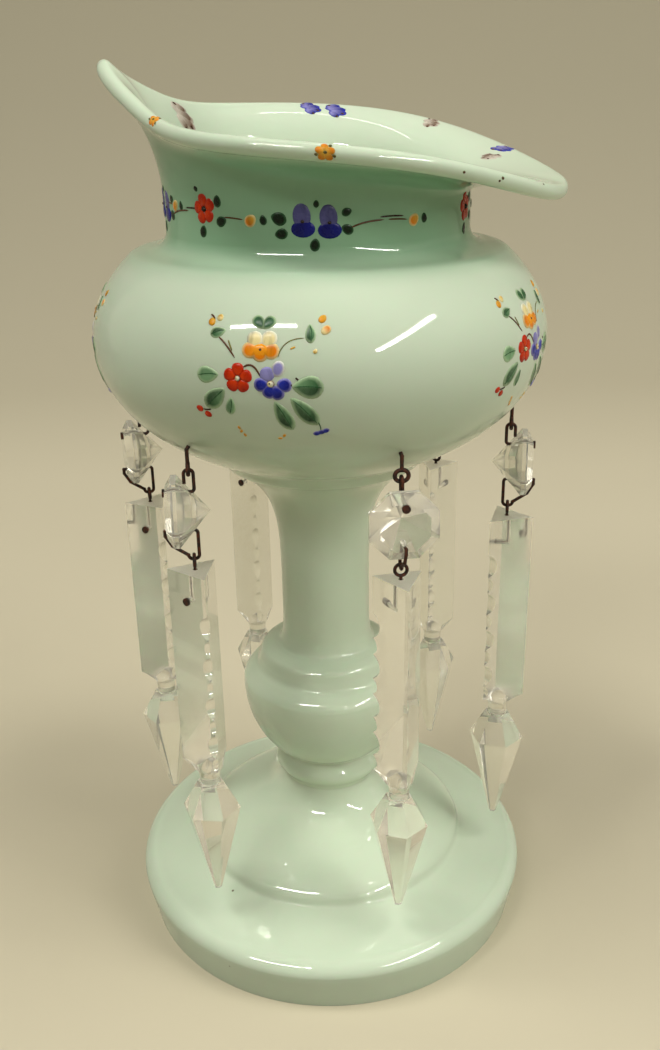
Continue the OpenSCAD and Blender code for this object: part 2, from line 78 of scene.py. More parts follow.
# Bowl and rim, in millimetres and degrees
BOWL_R, BOWL_HALF, BOWL_RISE = 68.8, 43.0, 42.0
BOWL_WALL, BOWL_FLOOR = 3.2, 4.5
NECK_R, NECK_RISE, NECK_WALL = 45.0, 41.0, 3.0
RIM_R, RIM_H, RIM_TILT, LIP_D = 60.0, 21.0, 3.4, 4.4
TIP_DROOP, TIP_REACH, TIP_RISE = 19.0, 13.5, 15.5
RIM_PINCH, PEAK_REACH, DROOP_TURN = 12.0, 13.5, -7.0
BOWL_MID = BOWL_Z + BOWL_RISE
NECK_Z = BOWL_MID + NECK_RISE
INNER_R, INNER_HALF = BOWL_R - BOWL_WALL, BOWL_HALF - BOWL_WALL
INNER_NECK_R = NECK_R - NECK_WALL

# Seat on the stem: where it meets the oval, and the handles of its curve
SEAT_BLEND_R = FLARE_R + 6.0
SEAT_OUT, SEAT_LEAN, SEAT_STEP = 2.2, 1.6, 0.02

# Shoulder below the neck: where it leaves the oval, its hollow, its end and the handle of its curve
SHOULDER_R, INNER_SHOULDER_R = 56.5, 56.0
SHOULDER_Z, NECK_FOOT_Z = 231.2, 237.8
HOLLOW_OUT, INNER_HOLLOW_OUT = 1.0, 0.4
INNER_HOLLOW_DROP, INNER_FOOT_RISE = 1.0, 0.7
SHOULDER_LEAN, SHOULDER_STEP = 1.45, 0.05

# Bells that shape the rim: width in degrees and power
REACH_BELL, PINCH_BELL, PEAK_BELL = (36.0, 1.5), (60.0, 2.0), (18.5, 1.5)
DROOP_BELL, RISE_BELL = (51.5, 1.7), (21.0, 1.2)

# Handle of the lip's curve: out from the neck and up from it, and a share of the edge's height
LIP_OUT, LIP_UP, LIP_SHARE = 1.5, 6.0, 0.5

# Painted shade of the lip on the neck: millimetres below the lip's start, then shares of the lip
NECK_SHADE_START, NECK_SHADE_FULL = 20.0, 9.0
NECK_SHADE_FADE, NECK_SHADE_END = 0.5, 0.97

# Counts of points round a piece and along its curves
ROUND_STEPS = 240
CURVE_STEPS = 18
OVAL_STEPS, INNER_OVAL_STEPS, SHOULDER_STEPS = 90, 60, 24
LIP_STEPS, LIP_END_STEPS = 26, 12
DOME_STEPS, COLLAR_STEPS, KNOP_STEPS, COLUMN_STEPS = 36, 30, 30, 48

# Angle in degrees above which an edge stays sharp
FOOT_SHARP, COLLAR_SHARP, STEM_SHARP, BOWL_SHARP = 24.0, 50.0, 60.0, 60.0


def shade(red, green, blue):
    """Linear colour of a paint given as 0 to 255 on the screen."""
    level = np.array([red, green, blue], float) / 255.0
    return np.where(level <= 0.04045, level / 12.92, ((level + 0.055) / 1.055) ** 2.4)


def smooth_step(low, high, value):
    """Soft threshold: 0 below low, 1 above high, and 3t^2 - 2t^3 between."""
    t = np.clip((value - low) / (high - low), 0.0, 1.0)
    return t * t * (3.0 - 2.0 * t)


def cos_sin(turn):
    """Cosine and sine of an angle in degrees."""
    return math.cos(math.radians(turn)), math.sin(math.radians(turn))


def round_points(angle, r, z):
    """Points at a radius and a height in a direction given in radians."""
    return np.stack([r * np.cos(angle), r * np.sin(angle), z], axis=-1)


# Meshes

MERGE_GAP, SLIVER_GAP = 1e-7, 1e-8


def grid_faces(rows, cols, round_rows, round_cols):
    """Corner numbers of the quads of a grid of points, joined round where asked."""
    index = np.arange(rows * cols).reshape(rows, cols)
    below = np.roll(index, -1, axis=0)
    beside = np.roll(index, -1, axis=1)
    corner = np.roll(below, -1, axis=1)
    quads = np.stack([index, below, corner, beside], axis=-1)
    last_row = rows if round_rows else rows - 1
    last_col = cols if round_cols else cols - 1
    return quads[:last_row, :last_col].reshape(-1, 4)


def mesh_piece(name, points, quads, sharp_angle=None, colours=None, layer_name="paint"):
    """Puts points in millimetres and quads into a mesh, closes its poles and seams and turns it
    outwards. Colours go into a layer of its points."""
    mesh = bpy.data.meshes.new(name)
    mesh.vertices.add(len(points))
    mesh.vertices.foreach_set("co", (np.asarray(points, float) * MM).ravel())
    mesh.loops.add(quads.size)
    mesh.loops.foreach_set("vertex_index", quads.ravel())
    mesh.polygons.add(len(quads))
    mesh.polygons.foreach_set("loop_start", np.arange(len(quads)) * 4)
    mesh.update(calc_edges=True)
    if colours is not None:
        layer = mesh.attributes.new(layer_name, "FLOAT_COLOR", "POINT")
        opaque = np.ones((len(colours), 1))
        layer.data.foreach_set("color", np.concatenate([colours, opaque], axis=1).ravel())
    work = bmesh.new()
    work.from_mesh(mesh)
    bmesh.ops.remove_doubles(work, verts=work.verts, dist=MERGE_GAP)
    bmesh.ops.dissolve_degenerate(work, edges=work.edges, dist=SLIVER_GAP)
    bmesh.ops.recalc_face_normals(work, faces=work.faces)
    if work.calc_volume(signed=True) < 0:
        bmesh.ops.reverse_faces(work, faces=work.faces)
    work.to_mesh(mesh)
    work.free()
    mesh.shade_smooth()
    if sharp_angle is not None:
        mesh.set_sharp_from_angle(angle=math.radians(sharp_angle))
    piece = bpy.data.objects.new(name, mesh)
    bpy.context.scene.collection.objects.link(piece)
    return piece


def cubic(a, b, c, d, steps=CURVE_STEPS):
    """Cubic curve: the mean of four points weighted (1-t)^3, 3t(1-t)^2, 3t^2(1-t) and t^3."""
    t = np.linspace(0.0, 1.0, steps)[:, None]
    a, b, c, d = (np.asarray(p, float) for p in (a, b, c, d))
    return (1 - t) ** 3 * a + 3 * t * (1 - t) ** 2 * b + 3 * t ** 2 * (1 - t) * c + t ** 3 * d


def line(a, b, steps=6):
    """Straight run of points from a to b."""
    t = np.linspace(0.0, 1.0, steps)[:, None]
    return (1 - t) * np.asarray(a, float) + t * np.asarray(b, float)


def through(points, steps):
    """Smooth curve through all the points: between two of them a cubic whose slopes at its ends
    are half the step from the point before to the point after."""
    points = np.asarray(points, float)
    ends = np.concatenate([2 * points[:1] - points[1:2], points, 2 * points[-1:] - points[-2:-1]])
    before, start, stop, after = ends[:-3, None], ends[1:-2, None], ends[2:-1, None], ends[3:, None]
    t = np.linspace(0.0, 1.0, steps, endpoint=False)[None, :, None]
    rise, fall = (stop - before) / 2, (after - start) / 2
    curve = ((2 * t ** 3 - 3 * t ** 2 + 1) * start + (t ** 3 - 2 * t ** 2 + t) * rise
             + (3 * t ** 2 - 2 * t ** 3) * stop + (t ** 3 - t ** 2) * fall)
    return np.concatenate([curve.reshape(-1, 2), points[-1:]])


def joined(*runs):
    """Runs of points one after the other, each repeated point kept once."""
    points = np.concatenate([np.atleast_2d(np.asarray(run, float)) for run in runs])
    keep = np.ones(len(points), bool)
    keep[1:] = np.linalg.norm(np.diff(points, axis=0), axis=1) > 1e-6
    return points[keep]


def turned(name, profile, sharp_angle):
    """Surface of revolution: each (radius, height) of a closed profile carried round the Z axis."""
    angle = np.linspace(0.0, 2 * np.pi, ROUND_STEPS, endpoint=False)[:, None]
    r, z = profile.T[:, None, :]
    points = round_points(angle, r, z + 0 * angle)
    quads = grid_faces(ROUND_STEPS, len(profile), True, True)
    return mesh_piece(name, points.reshape(-1, 3), quads, sharp_angle)


# Vase

def foot_line(shift):
    """Foot outline moved inwards: flared side, rounded edge, rising plate, softened crease and
    dome. The crease is softened by leaving out the points next to it and bridging the gap."""
    r, top = FOOT_R - shift, PLATE_TOP - shift
    edge = FOOT_EDGE - shift * EDGE_TUCK
    side = top - edge
    crease = (DOME_R - shift, CREASE_Z - shift)
    plate = line((r - edge, top), crease, 12)[:-1]
    dome = cubic(
        crease,
        (crease[0] - DOME_IN, crease[1] + DOME_H * DOME_LOW),
        (DOME_TOP_R + DOME_OUT - shift, crease[1] + DOME_H * DOME_HIGH),
        (DOME_TOP_R - shift, COLLAR_Z),
        DOME_STEPS,
    )[3:]
    return joined(
        line((FOOT_BASE_R - shift, 0), (r, side)),
        cubic((r, side), (r, top - edge * EDGE_LOW), (r - edge * EDGE_HIGH, top), (r - edge, top)),
        plate,
        cubic(plate[-1], crease, crease, dome[0], 10),
        dome,
    )


def foot_piece():
    """Foot: its outline, back through the bore and down the same outline one wall further in."""
    bore_end = COLLAR_Z - FOOT_WALL
    inner = foot_line(FOOT_WALL)
    inner = inner[(inner[:, 0] > BORE_R) & (inner[:, 1] < bore_end)]
    profile = joined(foot_line(0.0), (BORE_R, COLLAR_Z), (BORE_R, bore_end), inner[::-1])
    return turned("foot_glass", profile, FOOT_SHARP)


def collar_piece():
    """Collar: a ring between the dome's top and the knop's foot that swells by sin^2 of its height."""
    t = np.linspace(0.0, 1.0, COLLAR_STEPS)
    ring = DOME_TOP_R + (STEM_FOOT_R - DOME_TOP_R) * t + COLLAR_BULGE * np.sin(np.pi * t) ** 2
    outside = np.stack([ring, COLLAR_Z + COLLAR_H * t], axis=1)
    return turned("collar_glass", joined((BORE_R, STEM_Z), (BORE_R, COLLAR_Z), outside), COLLAR_SHARP)


def stem_piece():
    """Stem: a knop with soft tiers above its widest ring, a column that widens with the sixth
    power of its height, and a hollow."""
    foot = np.array((STEM_FOOT_R, STEM_Z))
    root = foot + ROOT
    swell_z = STEM_Z + KNOP_LOW * KNOP_SWELL
    tiers = through(np.array(KNOP_TIERS) + (KNOP_R, KNOP_Z), 8)
    t = np.linspace(0.0, 1.0, COLUMN_STEPS)
    column_r = COLUMN_R + (FLARE_R - COLUMN_R) * t ** FLARE_POWER
    bore_top = BOWL_Z - STEM_CAP
    profile = joined(
        (BORE_R, STEM_Z),
        foot,
        cubic(foot, foot + ROOT_RISE, foot + ROOT_TURN, root, 14),
        cubic(root, foot + ROOT_LEAN, (KNOP_R, swell_z), (KNOP_R, KNOP_Z), KNOP_STEPS),
        tiers,
        np.stack([column_r, COLUMN_Z + COLUMN_H * t], axis=1),
        line((FLARE_R, BOWL_Z), (0, BOWL_Z)),
        (0, bore_top),
        (BORE_R, bore_top),
        (BORE_R, STEM_Z),
    )
    return turned("stem_glass", profile, STEM_SHARP)


def angle_apart(a, b):
    """How far one direction lies from another, in degrees from 0 to 180."""
    return np.abs((a - b + 540.0) % 360.0 - 180.0)


def bell(apart, width, power):
    """Bell curve: 1 in the middle, falling off as exp(-(apart / width)^power)."""
    return np.exp(-(apart / width) ** power)


def rim_edge(a):
    """Radius and height of the lip's edge: a level ring with a slight tilt to the front. Bells make
    a tip that droops and reaches out on the right, and pinch the left to a narrow tip that rises."""
    right, left = angle_apart(a, 0.0), angle_apart(a, 180.0)
    droop = angle_apart(a, DROOP_TURN)
    radius = RIM_R + TIP_REACH * bell(right, *REACH_BELL) - LIP_D / 2
    radius = radius - RIM_PINCH * bell(left, *PINCH_BELL) + PEAK_REACH * bell(left, *PEAK_BELL)
    height = NECK_Z + RIM_H + RIM_TILT * np.sin(np.radians(a)) - LIP_D / 2
    height = height - TIP_DROOP * bell(droop, *DROOP_BELL) + TIP_RISE * bell(left, *RISE_BELL)
    return radius, height


def lip_side(a, t, side):
    """Radius and height on the lip's outside (side 1) or inside (side -1): a quadratic curve from
    neck to edge, moved along its normal by half a thickness that grows with t^2."""
    edge_r, edge_z = rim_edge(a)
    r0, z0 = NECK_R - NECK_WALL / 2, NECK_Z
    r1, z1 = r0 + LIP_OUT, NECK_Z + LIP_UP + LIP_SHARE * (edge_z - NECK_Z)
    r = (1 - t) ** 2 * r0 + 2 * t * (1 - t) * r1 + t * t * edge_r
    z = (1 - t) ** 2 * z0 + 2 * t * (1 - t) * z1 + t * t * edge_z
    slope_r = 2 * (1 - t) * (r1 - r0) + 2 * t * (edge_r - r1)
    slope_z = 2 * (1 - t) * (z1 - z0) + 2 * t * (edge_z - z1)
    size = np.hypot(slope_r, slope_z)
    half = side * (NECK_WALL + (LIP_D - NECK_WALL) * t * t) / 2
    return r + half * slope_z / size, z - half * slope_r / size


def lip_end(a, w):
    """Radius and height on the lip's round edge at the angle w from its outside to its inside."""
    out_r, out_z = lip_side(a, 1.0, 1)
    in_r, in_z = lip_side(a, 1.0, -1)
    mid_r, mid_z = (out_r + in_r) / 2, (out_z + in_z) / 2
    half_r, half_z = (out_r - in_r) / 2, (out_z - in_z) / 2
    r = mid_r + half_r * np.cos(w) - half_z * np.sin(w)
    z = mid_z + half_z * np.cos(w) + half_r * np.sin(w)
    return r, z


def oval_run(radius, half, low, high, steps):
    """Part of the bowl's oval between two angles."""
    u = np.linspace(low, high, steps)
    return np.stack([radius * np.cos(u), BOWL_MID + half * np.sin(u)], axis=1)


def shoulder_run(radius, half, leave_r, hollow, foot):
    """Cubic from where the oval is left, along its slope, through a hollow and up to the neck."""
    u = math.acos(leave_r / radius)
    start, onward = oval_run(radius, half, u, u + SHOULDER_STEP, 2)
    return cubic(start, start + (onward - start) * SHOULDER_LEAN, hollow, foot, SHOULDER_STEPS)


SHOULDER = shoulder_run(
    BOWL_R, BOWL_HALF, SHOULDER_R,
    (NECK_R + HOLLOW_OUT, SHOULDER_Z),
    (NECK_R, NECK_FOOT_Z),
)
INNER_SHOULDER = shoulder_run(
    INNER_R, INNER_HALF, INNER_SHOULDER_R,
    (INNER_NECK_R + INNER_HOLLOW_OUT, SHOULDER_Z - INNER_HOLLOW_DROP),
    (INNER_NECK_R, NECK_FOOT_Z + INNER_FOOT_RISE),
)


def carried(profile):
    """Radii and heights of a profile, the same in every direction."""
    return tuple(np.broadcast_to(column, (ROUND_STEPS, len(profile))) for column in profile.T)


def bowl_piece():
    """Bowl: seat, oval, shoulder and neck carried round, then the lip out and back over its round
    edge, then the inner oval down to the floor. Its layer of painted shade is 1 on the neck under the
    lip."""
    seat = (FLARE_R, BOWL_Z)
    low = -math.acos(SEAT_BLEND_R / BOWL_R)
    blend, onward = oval_run(BOWL_R, BOWL_HALF, low, low + SEAT_STEP, 2)
    outside = joined(
        line((0, BOWL_Z), seat),
        cubic(seat, (FLARE_R + SEAT_OUT, BOWL_Z), blend - (onward - blend) * SEAT_LEAN, blend, 10),
        oval_run(BOWL_R, BOWL_HALF, low, math.acos(SHOULDER_R / BOWL_R), OVAL_STEPS),
        SHOULDER,
    )
    floor_z = BOWL_Z + BOWL_FLOOR
    floor_u = math.asin((floor_z - BOWL_MID) / INNER_HALF)
    inside = joined(
        INNER_SHOULDER[::-1],
        oval_run(INNER_R, INNER_HALF, math.acos(INNER_SHOULDER_R / INNER_R), floor_u, INNER_OVAL_STEPS),
        line((INNER_R * math.cos(floor_u), floor_z), (0, floor_z)),
    )
    a = np.linspace(0.0, 360.0, ROUND_STEPS, endpoint=False)[:, None]
    t = np.linspace(0.0, 1.0, LIP_STEPS)[None, :]
    w = np.linspace(0.0, np.pi, LIP_END_STEPS)[None, 1:-1]
    lip = (lip_side(a, t, 1), lip_end(a, w), lip_side(a, t[:, ::-1], -1))
    spans = (carried(outside), *lip, carried(inside))
    r, z = (np.concatenate(part, axis=1) for part in zip(*spans))
    points = round_points(np.radians(a), r, z)
    quads = grid_faces(ROUND_STEPS, r.shape[1], True, False)
    # Mask of painted shade: full on the neck and the lip's foot under the lip, none elsewhere
    painted_neck_shade = np.concatenate([
        smooth_step(NECK_Z - NECK_SHADE_START, NECK_Z - NECK_SHADE_FULL, outside[:, 1]),
        1 - smooth_step(NECK_SHADE_FADE, NECK_SHADE_END, t[0]),
        np.zeros(r.shape[1] - len(outside) - LIP_STEPS),
    ])
    depth = np.broadcast_to(painted_neck_shade[None, :, None], (*r.shape, 3)).reshape(-1, 3)
    return mesh_piece("bowl_glass", points.reshape(-1, 3), quads, BOWL_SHARP, depth, "painted_neck_shade")


# Places on the vase, each a function of millimetres across and along its surface

LEAN = np.linspace(-math.pi / 2, math.pi / 2, 721)
STEP_R, STEP_Z = np.diff(BOWL_R * np.cos(LEAN)), np.diff(BOWL_HALF * np.sin(LEAN))
CLIMB = np.concatenate([[0.0], np.cumsum(np.hypot(STEP_R, STEP_Z))])
CLIMB = CLIMB - np.interp(0.0, LEAN, CLIMB)
LIP_FOOT = np.linspace(0.0, 0.12, 10)


def on_belly(turn, climb):
    """Place on the belly: x runs round it and y up its oval, measured along the surface."""
    def place(x, y):
        lean = np.interp(climb + y, CLIMB, LEAN)
        r = BOWL_R * np.cos(lean)
        return round_points(math.radians(turn) + x / r, r, BOWL_MID + BOWL_HALF * np.sin(lean))
    return place


def on_neck(turn, height):
    """Place on the neck: x runs round it and y up, over the shoulder, the neck and the lip's foot."""
    lip = np.stack(lip_side(float(turn), LIP_FOOT, 1), axis=1)
    wall = np.concatenate([SHOULDER, lip])

    def place(x, y):
        z = height + y + 0 * x
        r = np.interp(z, wall[:, 1], wall[:, 0])
        return round_points(math.radians(turn) + x / NECK_R, r, z)
    return place


def on_lip(turn, share):
    """Place on the lip's upper side: x runs round it and y from the edge down to the neck."""
    edge_r, edge_z = (float(value) for value in rim_edge(float(turn)))
    run = math.hypot(edge_r - NECK_R, edge_z - NECK_Z)

    def place(x, y):
        angle = turn + np.degrees(x / edge_r)
        r, z = lip_side(angle, share - y / run, -1)
        return round_points(np.radians(angle), r, z)
    return place


def on_edge(turn, over):
    """Place on the lip's round edge: x runs round it and y over it, from its outside to its inside."""
    edge_r = float(rim_edge(float(turn))[0])

    def place(x, y):
        angle = turn + np.degrees(x / edge_r)
        r, z = lip_end(angle, over + y / (LIP_D / 2))
        return round_points(np.radians(angle), r, z)
    return place


# Enamel

DAB_RINGS, DAB_SIDES = 6, 20
VEIN_STEPS, VEIN_SIDES = 14, 8
NORMAL_STEP = 0.05

# How deep a dab sinks into the glass and its edge is tucked in, in millimetres
DAB_SINK, DAB_TUCK = 0.12, 0.02

# Where a dab's colour changes: along it, across its split and towards its edge, as shares of it
TINT_RUN, SPLIT_RUN = 0.9, 0.12
EDGE_START, EDGE_FULL = 0.62, 0.95


class Enamel:
    """Gathers dabs of enamel, each a closed lens on the glass with its own colours."""

    def __init__(self):
        self.points = []
        self.colours = []
        self.quads = []
        self.count = 0

    def add(self, points, colours, quads):
        """Adds one closed shape."""
        self.points.append(points.reshape(-1, 3))
        self.colours.append(colours.reshape(-1, 3))
        self.quads.append(quads + self.count)
        self.count += points.size // 3

    def piece(self, name):
        """One mesh of all the dabs."""
        points, quads = np.concatenate(self.points), np.concatenate(self.quads)
        return mesh_piece(name, points, quads, colours=np.concatenate(self.colours))


def lifted(place, x, y, height):
    """Points of a place lifted by a height along the normal, the cross product of two small steps."""
    across = place(x + NORMAL_STEP, y) - place(x - NORMAL_STEP, y)
    along = place(x, y + NORMAL_STEP) - place(x, y - NORMAL_STEP)
    normal = np.cross(across, along)
    normal = normal / np.linalg.norm(normal, axis=-1, keepdims=True)
    return place(x, y) + height[..., None] * normal


def dab(coat, place, x, y, length, width, turn, colours, taper=0.0, point=0.0, rise=0.3, split=0.0):
    """Lens-shaped dab: an oval of the given length and width, drawn to points and tapered towards
    its far end, crowned by (1 - ring^2)^0.5. Its colour runs from base to tip, to an edge colour
    outside, and is deeper on one half where split is above 0."""
    base, tip, edge = colours
    ring = np.linspace(0.0, 1.0, DAB_RINGS)[:, None]
    angle = np.linspace(0.0, 2 * np.pi, DAB_SIDES, endpoint=False)[None, :]
    along = ring * np.cos(angle)
    across = ring * np.sin(angle) * np.abs(np.sin(angle)) ** point * (1 - taper * np.cos(angle))
    u, v = along * length / 2, across * width / 2
    cos, sin = cos_sin(turn)
    px, py = x + u * cos - v * sin, y + u * sin + v * cos
    crown = rise * np.sqrt(np.clip(1 - ring ** 2, 0, 1)) + 0 * angle
    top = lifted(place, px, py, crown - DAB_TUCK)
    under = lifted(place, px, py, 0 * crown - DAB_SINK)
    run = smooth_step(-TINT_RUN, TINT_RUN, along)[..., None]
    tint = base * (1 - run) + tip * run
    tint = tint * (1 - split * smooth_step(-SPLIT_RUN, SPLIT_RUN, across)[..., None])
    rimmed = (smooth_step(EDGE_START, EDGE_FULL, ring) + 0 * angle)[..., None]
    tint = tint * (1 - rimmed) + edge * rimmed
    quads = grid_faces(2 * DAB_RINGS, DAB_SIDES, False, True)
    coat.add(np.concatenate([top, under[::-1]]), np.concatenate([tint, tint[::-1]]), quads)


def vein(coat, place, path, width, colour, rise=0.14):
    """Painted line: a flat oval section carried along a smooth curve through three points, thinner
    at its ends."""
    a, b, c = (np.asarray(p, float) for p in path)
    t = np.linspace(0.0, 1.0, VEIN_STEPS)[:, None]
    mid = 2 * b - (a + c) / 2
    centre = (1 - t) ** 2 * a + 2 * t * (1 - t) * mid + t * t * c
    slope = np.gradient(centre, axis=0)
    slope = slope / np.linalg.norm(slope, axis=1, keepdims=True)
    angle = np.linspace(0.0, 2 * np.pi, VEIN_SIDES, endpoint=False)[None, :]
    thin = np.sqrt(np.clip(1 - (2 * t - 1) ** 6, 0.02, 1)) * width / 2
    x = centre[:, :1] - slope[:, 1:] * thin * np.cos(angle)
    y = centre[:, 1:] + slope[:, :1] * thin * np.cos(angle)
    height = np.where(np.sin(angle) > 0, rise, DAB_SINK) * np.sin(angle) + 0 * t
    points = lifted(place, x, y, height)
    ends = points.mean(axis=1, keepdims=True)
    start, stop = (np.repeat(end, VEIN_SIDES, axis=1) for end in (ends[:1], ends[-1:]))
    points = np.concatenate([start, points, stop])
    quads = grid_faces(len(points), VEIN_SIDES, False, True)
    coat.add(points, np.broadcast_to(colour, points.shape), quads)


# Paints

RED, DEEP_RED = shade(222, 64, 6), shade(186, 36, 2)
ORANGE, AMBER, GOLD = shade(244, 156, 24), shade(230, 124, 8), shade(214, 164, 60)
CREAM, WHITE = shade(238, 222, 158), shade(226, 226, 206)
LILAC, BLUE, DEEP_BLUE = shade(146, 142, 198), shade(40, 54, 170), shade(16, 24, 124)
# Darker, greyer lilac and blue of the neck's violas: greyer paint and painted shade of the lip
SHADED_MAUVE, SHADED_NIGHT_BLUE = shade(86, 84, 136), shade(10, 12, 88)
LEAF, LEAF_DARK = shade(124, 166, 120), shade(46, 92, 54)
LEAF_PALE, LEAF_DEEP = shade(182, 208, 164), shade(6, 30, 12)
BROWN, UMBER = shade(92, 58, 34), shade(48, 28, 18)
PALE_GREY, OLIVE = shade(206, 196, 180), shade(120, 116, 60)

# Colours of a dab: base, tip and edge
DARK_SPOT = (UMBER, UMBER, UMBER)
HEART = (CREAM, WHITE, BROWN)
RED_PAINT = (RED, DEEP_RED, DEEP_RED)
BLUE_PAINT = (BLUE, DEEP_BLUE, LILAC)
CREAM_PAINT = (CREAM, CREAM, WHITE)
ORANGE_PAINT = (ORANGE, AMBER, CREAM)
YELLOW_PAINT = (ORANGE, GOLD, GOLD)
GRIT_PAINT = (OLIVE, UMBER, OLIVE)

# Flowers: each dab's place across and up, length, width, turn, colours, taper and rise
RED_HEART = (
    (0.0, 0.0, 0.2, 0.2, 0, HEART, 0.0, 0.62),
    (-0.03, 0.02, 0.07, 0.07, 0, (BROWN, BROWN, BROWN), 0.0, 0.72),
)
PANSY = (
    (-0.1, 0.28, 0.44, 0.46, 100, (LILAC, LILAC, LILAC), 0.0, 0.3),
    (0.22, 0.44, 0.5, 0.38, 70, (LILAC, LILAC, WHITE), 0.0, 0.26),
    (-0.28, -0.03, 0.46, 0.42, 190, BLUE_PAINT, -0.15, 0.34),
    (0.4, -0.03, 0.46, 0.42, -5, BLUE_PAINT, -0.15, 0.34),
    (0.18, -0.26, 0.46, 0.42, -60, BLUE_PAINT, -0.15, 0.34),
    (-0.05, -0.22, 0.46, 0.42, -110, BLUE_PAINT, -0.15, 0.34),
    (0.0, 0.0, 0.24, 0.22, 0, HEART, 0.0, 0.62),
    (-0.02, 0.02, 0.1, 0.09, 0, DARK_SPOT, 0.0, 0.7),
)
PRIMROSE = (
    (-1.5, 2.7, 4.6, 4.2, 105, CREAM_PAINT, -0.1, 0.26),
    (2.1, 2.8, 4.8, 4.2, 72, CREAM_PAINT, -0.1, 0.26),
    (-2.5, 0.1, 4.8, 4.2, 172, ORANGE_PAINT, -0.1, 0.34),
    (2.6, 0.0, 4.8, 4.2, 6, ORANGE_PAINT, -0.1, 0.34),
    (0.0, -0.6, 4.4, 4.2, -92, ORANGE_PAINT, -0.1, 0.34),
    (0.0, 0.1, 5.0, 3.6, 0, (ORANGE, ORANGE, ORANGE), 0.0, 0.44),
    (0.1, 0.3, 1.0, 1.0, 0, (UMBER, BROWN, CREAM), 0.0, 0.6),
)
# Violas of the neck: their darker colours carry painted shade of the lip
VIOLA = (
    (-0.2, 1.6, 6.6, 4.8, 95, (SHADED_MAUVE, SHADED_MAUVE, SHADED_MAUVE), 0.0, 0.26),
    (0.1, -1.6, 6.4, 4.4, 0, (SHADED_NIGHT_BLUE, DEEP_BLUE, DEEP_BLUE), 0.0, 0.32),
    (0.0, 0.3, 1.2, 1.0, 0, DARK_SPOT, 0.0, 0.5),
)

# Petals of the red flower and of the gold flower, as shares of its size, and the gold one's flecks
PETALS, PETAL_RISE = 5, 0.34
PETAL_REACH, PETAL_LENGTH, PETAL_WIDTH, PETAL_TAPER = 0.3, 0.46, 0.44, -0.2
GOLD_REACH, GOLD_LENGTH, GOLD_WIDTH, GOLD_TILT = 0.3, 0.56, 0.46, 20.0
FLECK_REACH, FLECK_LENGTH, FLECK_WIDTH, FLECK_TURN = 0.52, 0.22, 0.18, 0.6


def bloom(coat, place, x, y, size, dabs, turn=0.0):
    """Flower from a table of dabs: their places, lengths and widths are shares of its size, and
    they are all turned about its middle."""
    cos, sin = (size * value for value in cos_sin(turn))
    for px, py, length, width, lean, colours, taper, rise in dabs:
        dx, dy = px * cos - py * sin, px * sin + py * cos
        dab(coat, place, x + dx, y + dy, size * length, size * width, turn + lean, colours,
            taper=taper, rise=rise)


def red_flower(coat, place, x, y, size, tilt):
    """Five round red petals in a ring, a cream heart and a dark fleck."""
    reach = size * PETAL_REACH
    for turn in tilt + np.arange(PETALS) * 360.0 / PETALS:
        cos, sin = cos_sin(turn)
        dab(coat, place, x + reach * cos, y + reach * sin, size * PETAL_LENGTH, size * PETAL_WIDTH,
            turn, RED_PAINT, taper=PETAL_TAPER, rise=PETAL_RISE)
    bloom(coat, place, x, y, size, RED_HEART)


# Spray of the belly: stems as three points, width and colour
SPRAY_STEMS = (
    ((-11.7, 9.6), (-9.6, 7.8), (-7.0, 4.6), 0.5, BROWN),
    ((-9.0, 9.0), (-8.4, 7.6), (-7.9, 6.4), 0.45, OLIVE),
    ((-4.8, 2.4), (-2.4, 2.9), (-0.4, 0.4), 0.55, BROWN),
    ((4.2, 5.2), (6.2, 8.7), (10.4, 9.9), 0.3, OLIVE),
    ((7.2, 7.2), (7.8, 7.5), (8.4, 7.7), 0.5, GOLD),
    ((14.0, -14.6), (14.0, -13.4), (13.6, -12.0), 0.3, LEAF_DARK),
    ((-17.0, -9.6), (-15.8, -9.7), (-14.6, -9.4), 0.5, UMBER),
    ((6.8, -0.6), (7.2, -1.4), (7.6, -2.0), 0.6, UMBER),
    ((8.6, 0.2), (9.0, -0.2), (9.3, -0.4), 0.5, UMBER),
    ((-14.4, 15.2), (-13.8, 14.9), (-13.2, 14.1), 0.5, BROWN),
)

# Its leaves as place across and up, length, width, turn, base colour and split
SPRAY_LEAVES = (
    (-14.7, 0.0, 6.4, 4.4, 5, LEAF, 0.25),
    (-13.0, -6.0, 8.2, 5.0, 43, LEAF_DARK, 0.4),
    (-8.8, -8.0, 5.2, 2.8, 80, LEAF, 0.3),
    (11.7, -2.3, 8.2, 6.0, 178, LEAF_DARK, 0.5),
    (10.5, -8.9, 10.4, 4.8, 130, LEAF_DARK, 0.5),
    (5.0, -10.3, 9.6, 4.4, 114, LEAF_DARK, 0.4),
    (-12.0, 10.8, 4.6, 2.8, 18, LEAF_DARK, 0.5),
    (11.9, 11.0, 5.0, 2.7, 98, LEAF_DARK, 0.5),
)
LEAF_VEIN_REACH, LEAF_VEIN_BOW, LEAF_VEIN_WIDTH = 0.42, 0.3, 0.35
HEART_LEAF, HEART_LEAF_SIZE = ((-1.2, 13.8, 130), (1.3, 13.7, 50)), (4.2, 3.0)

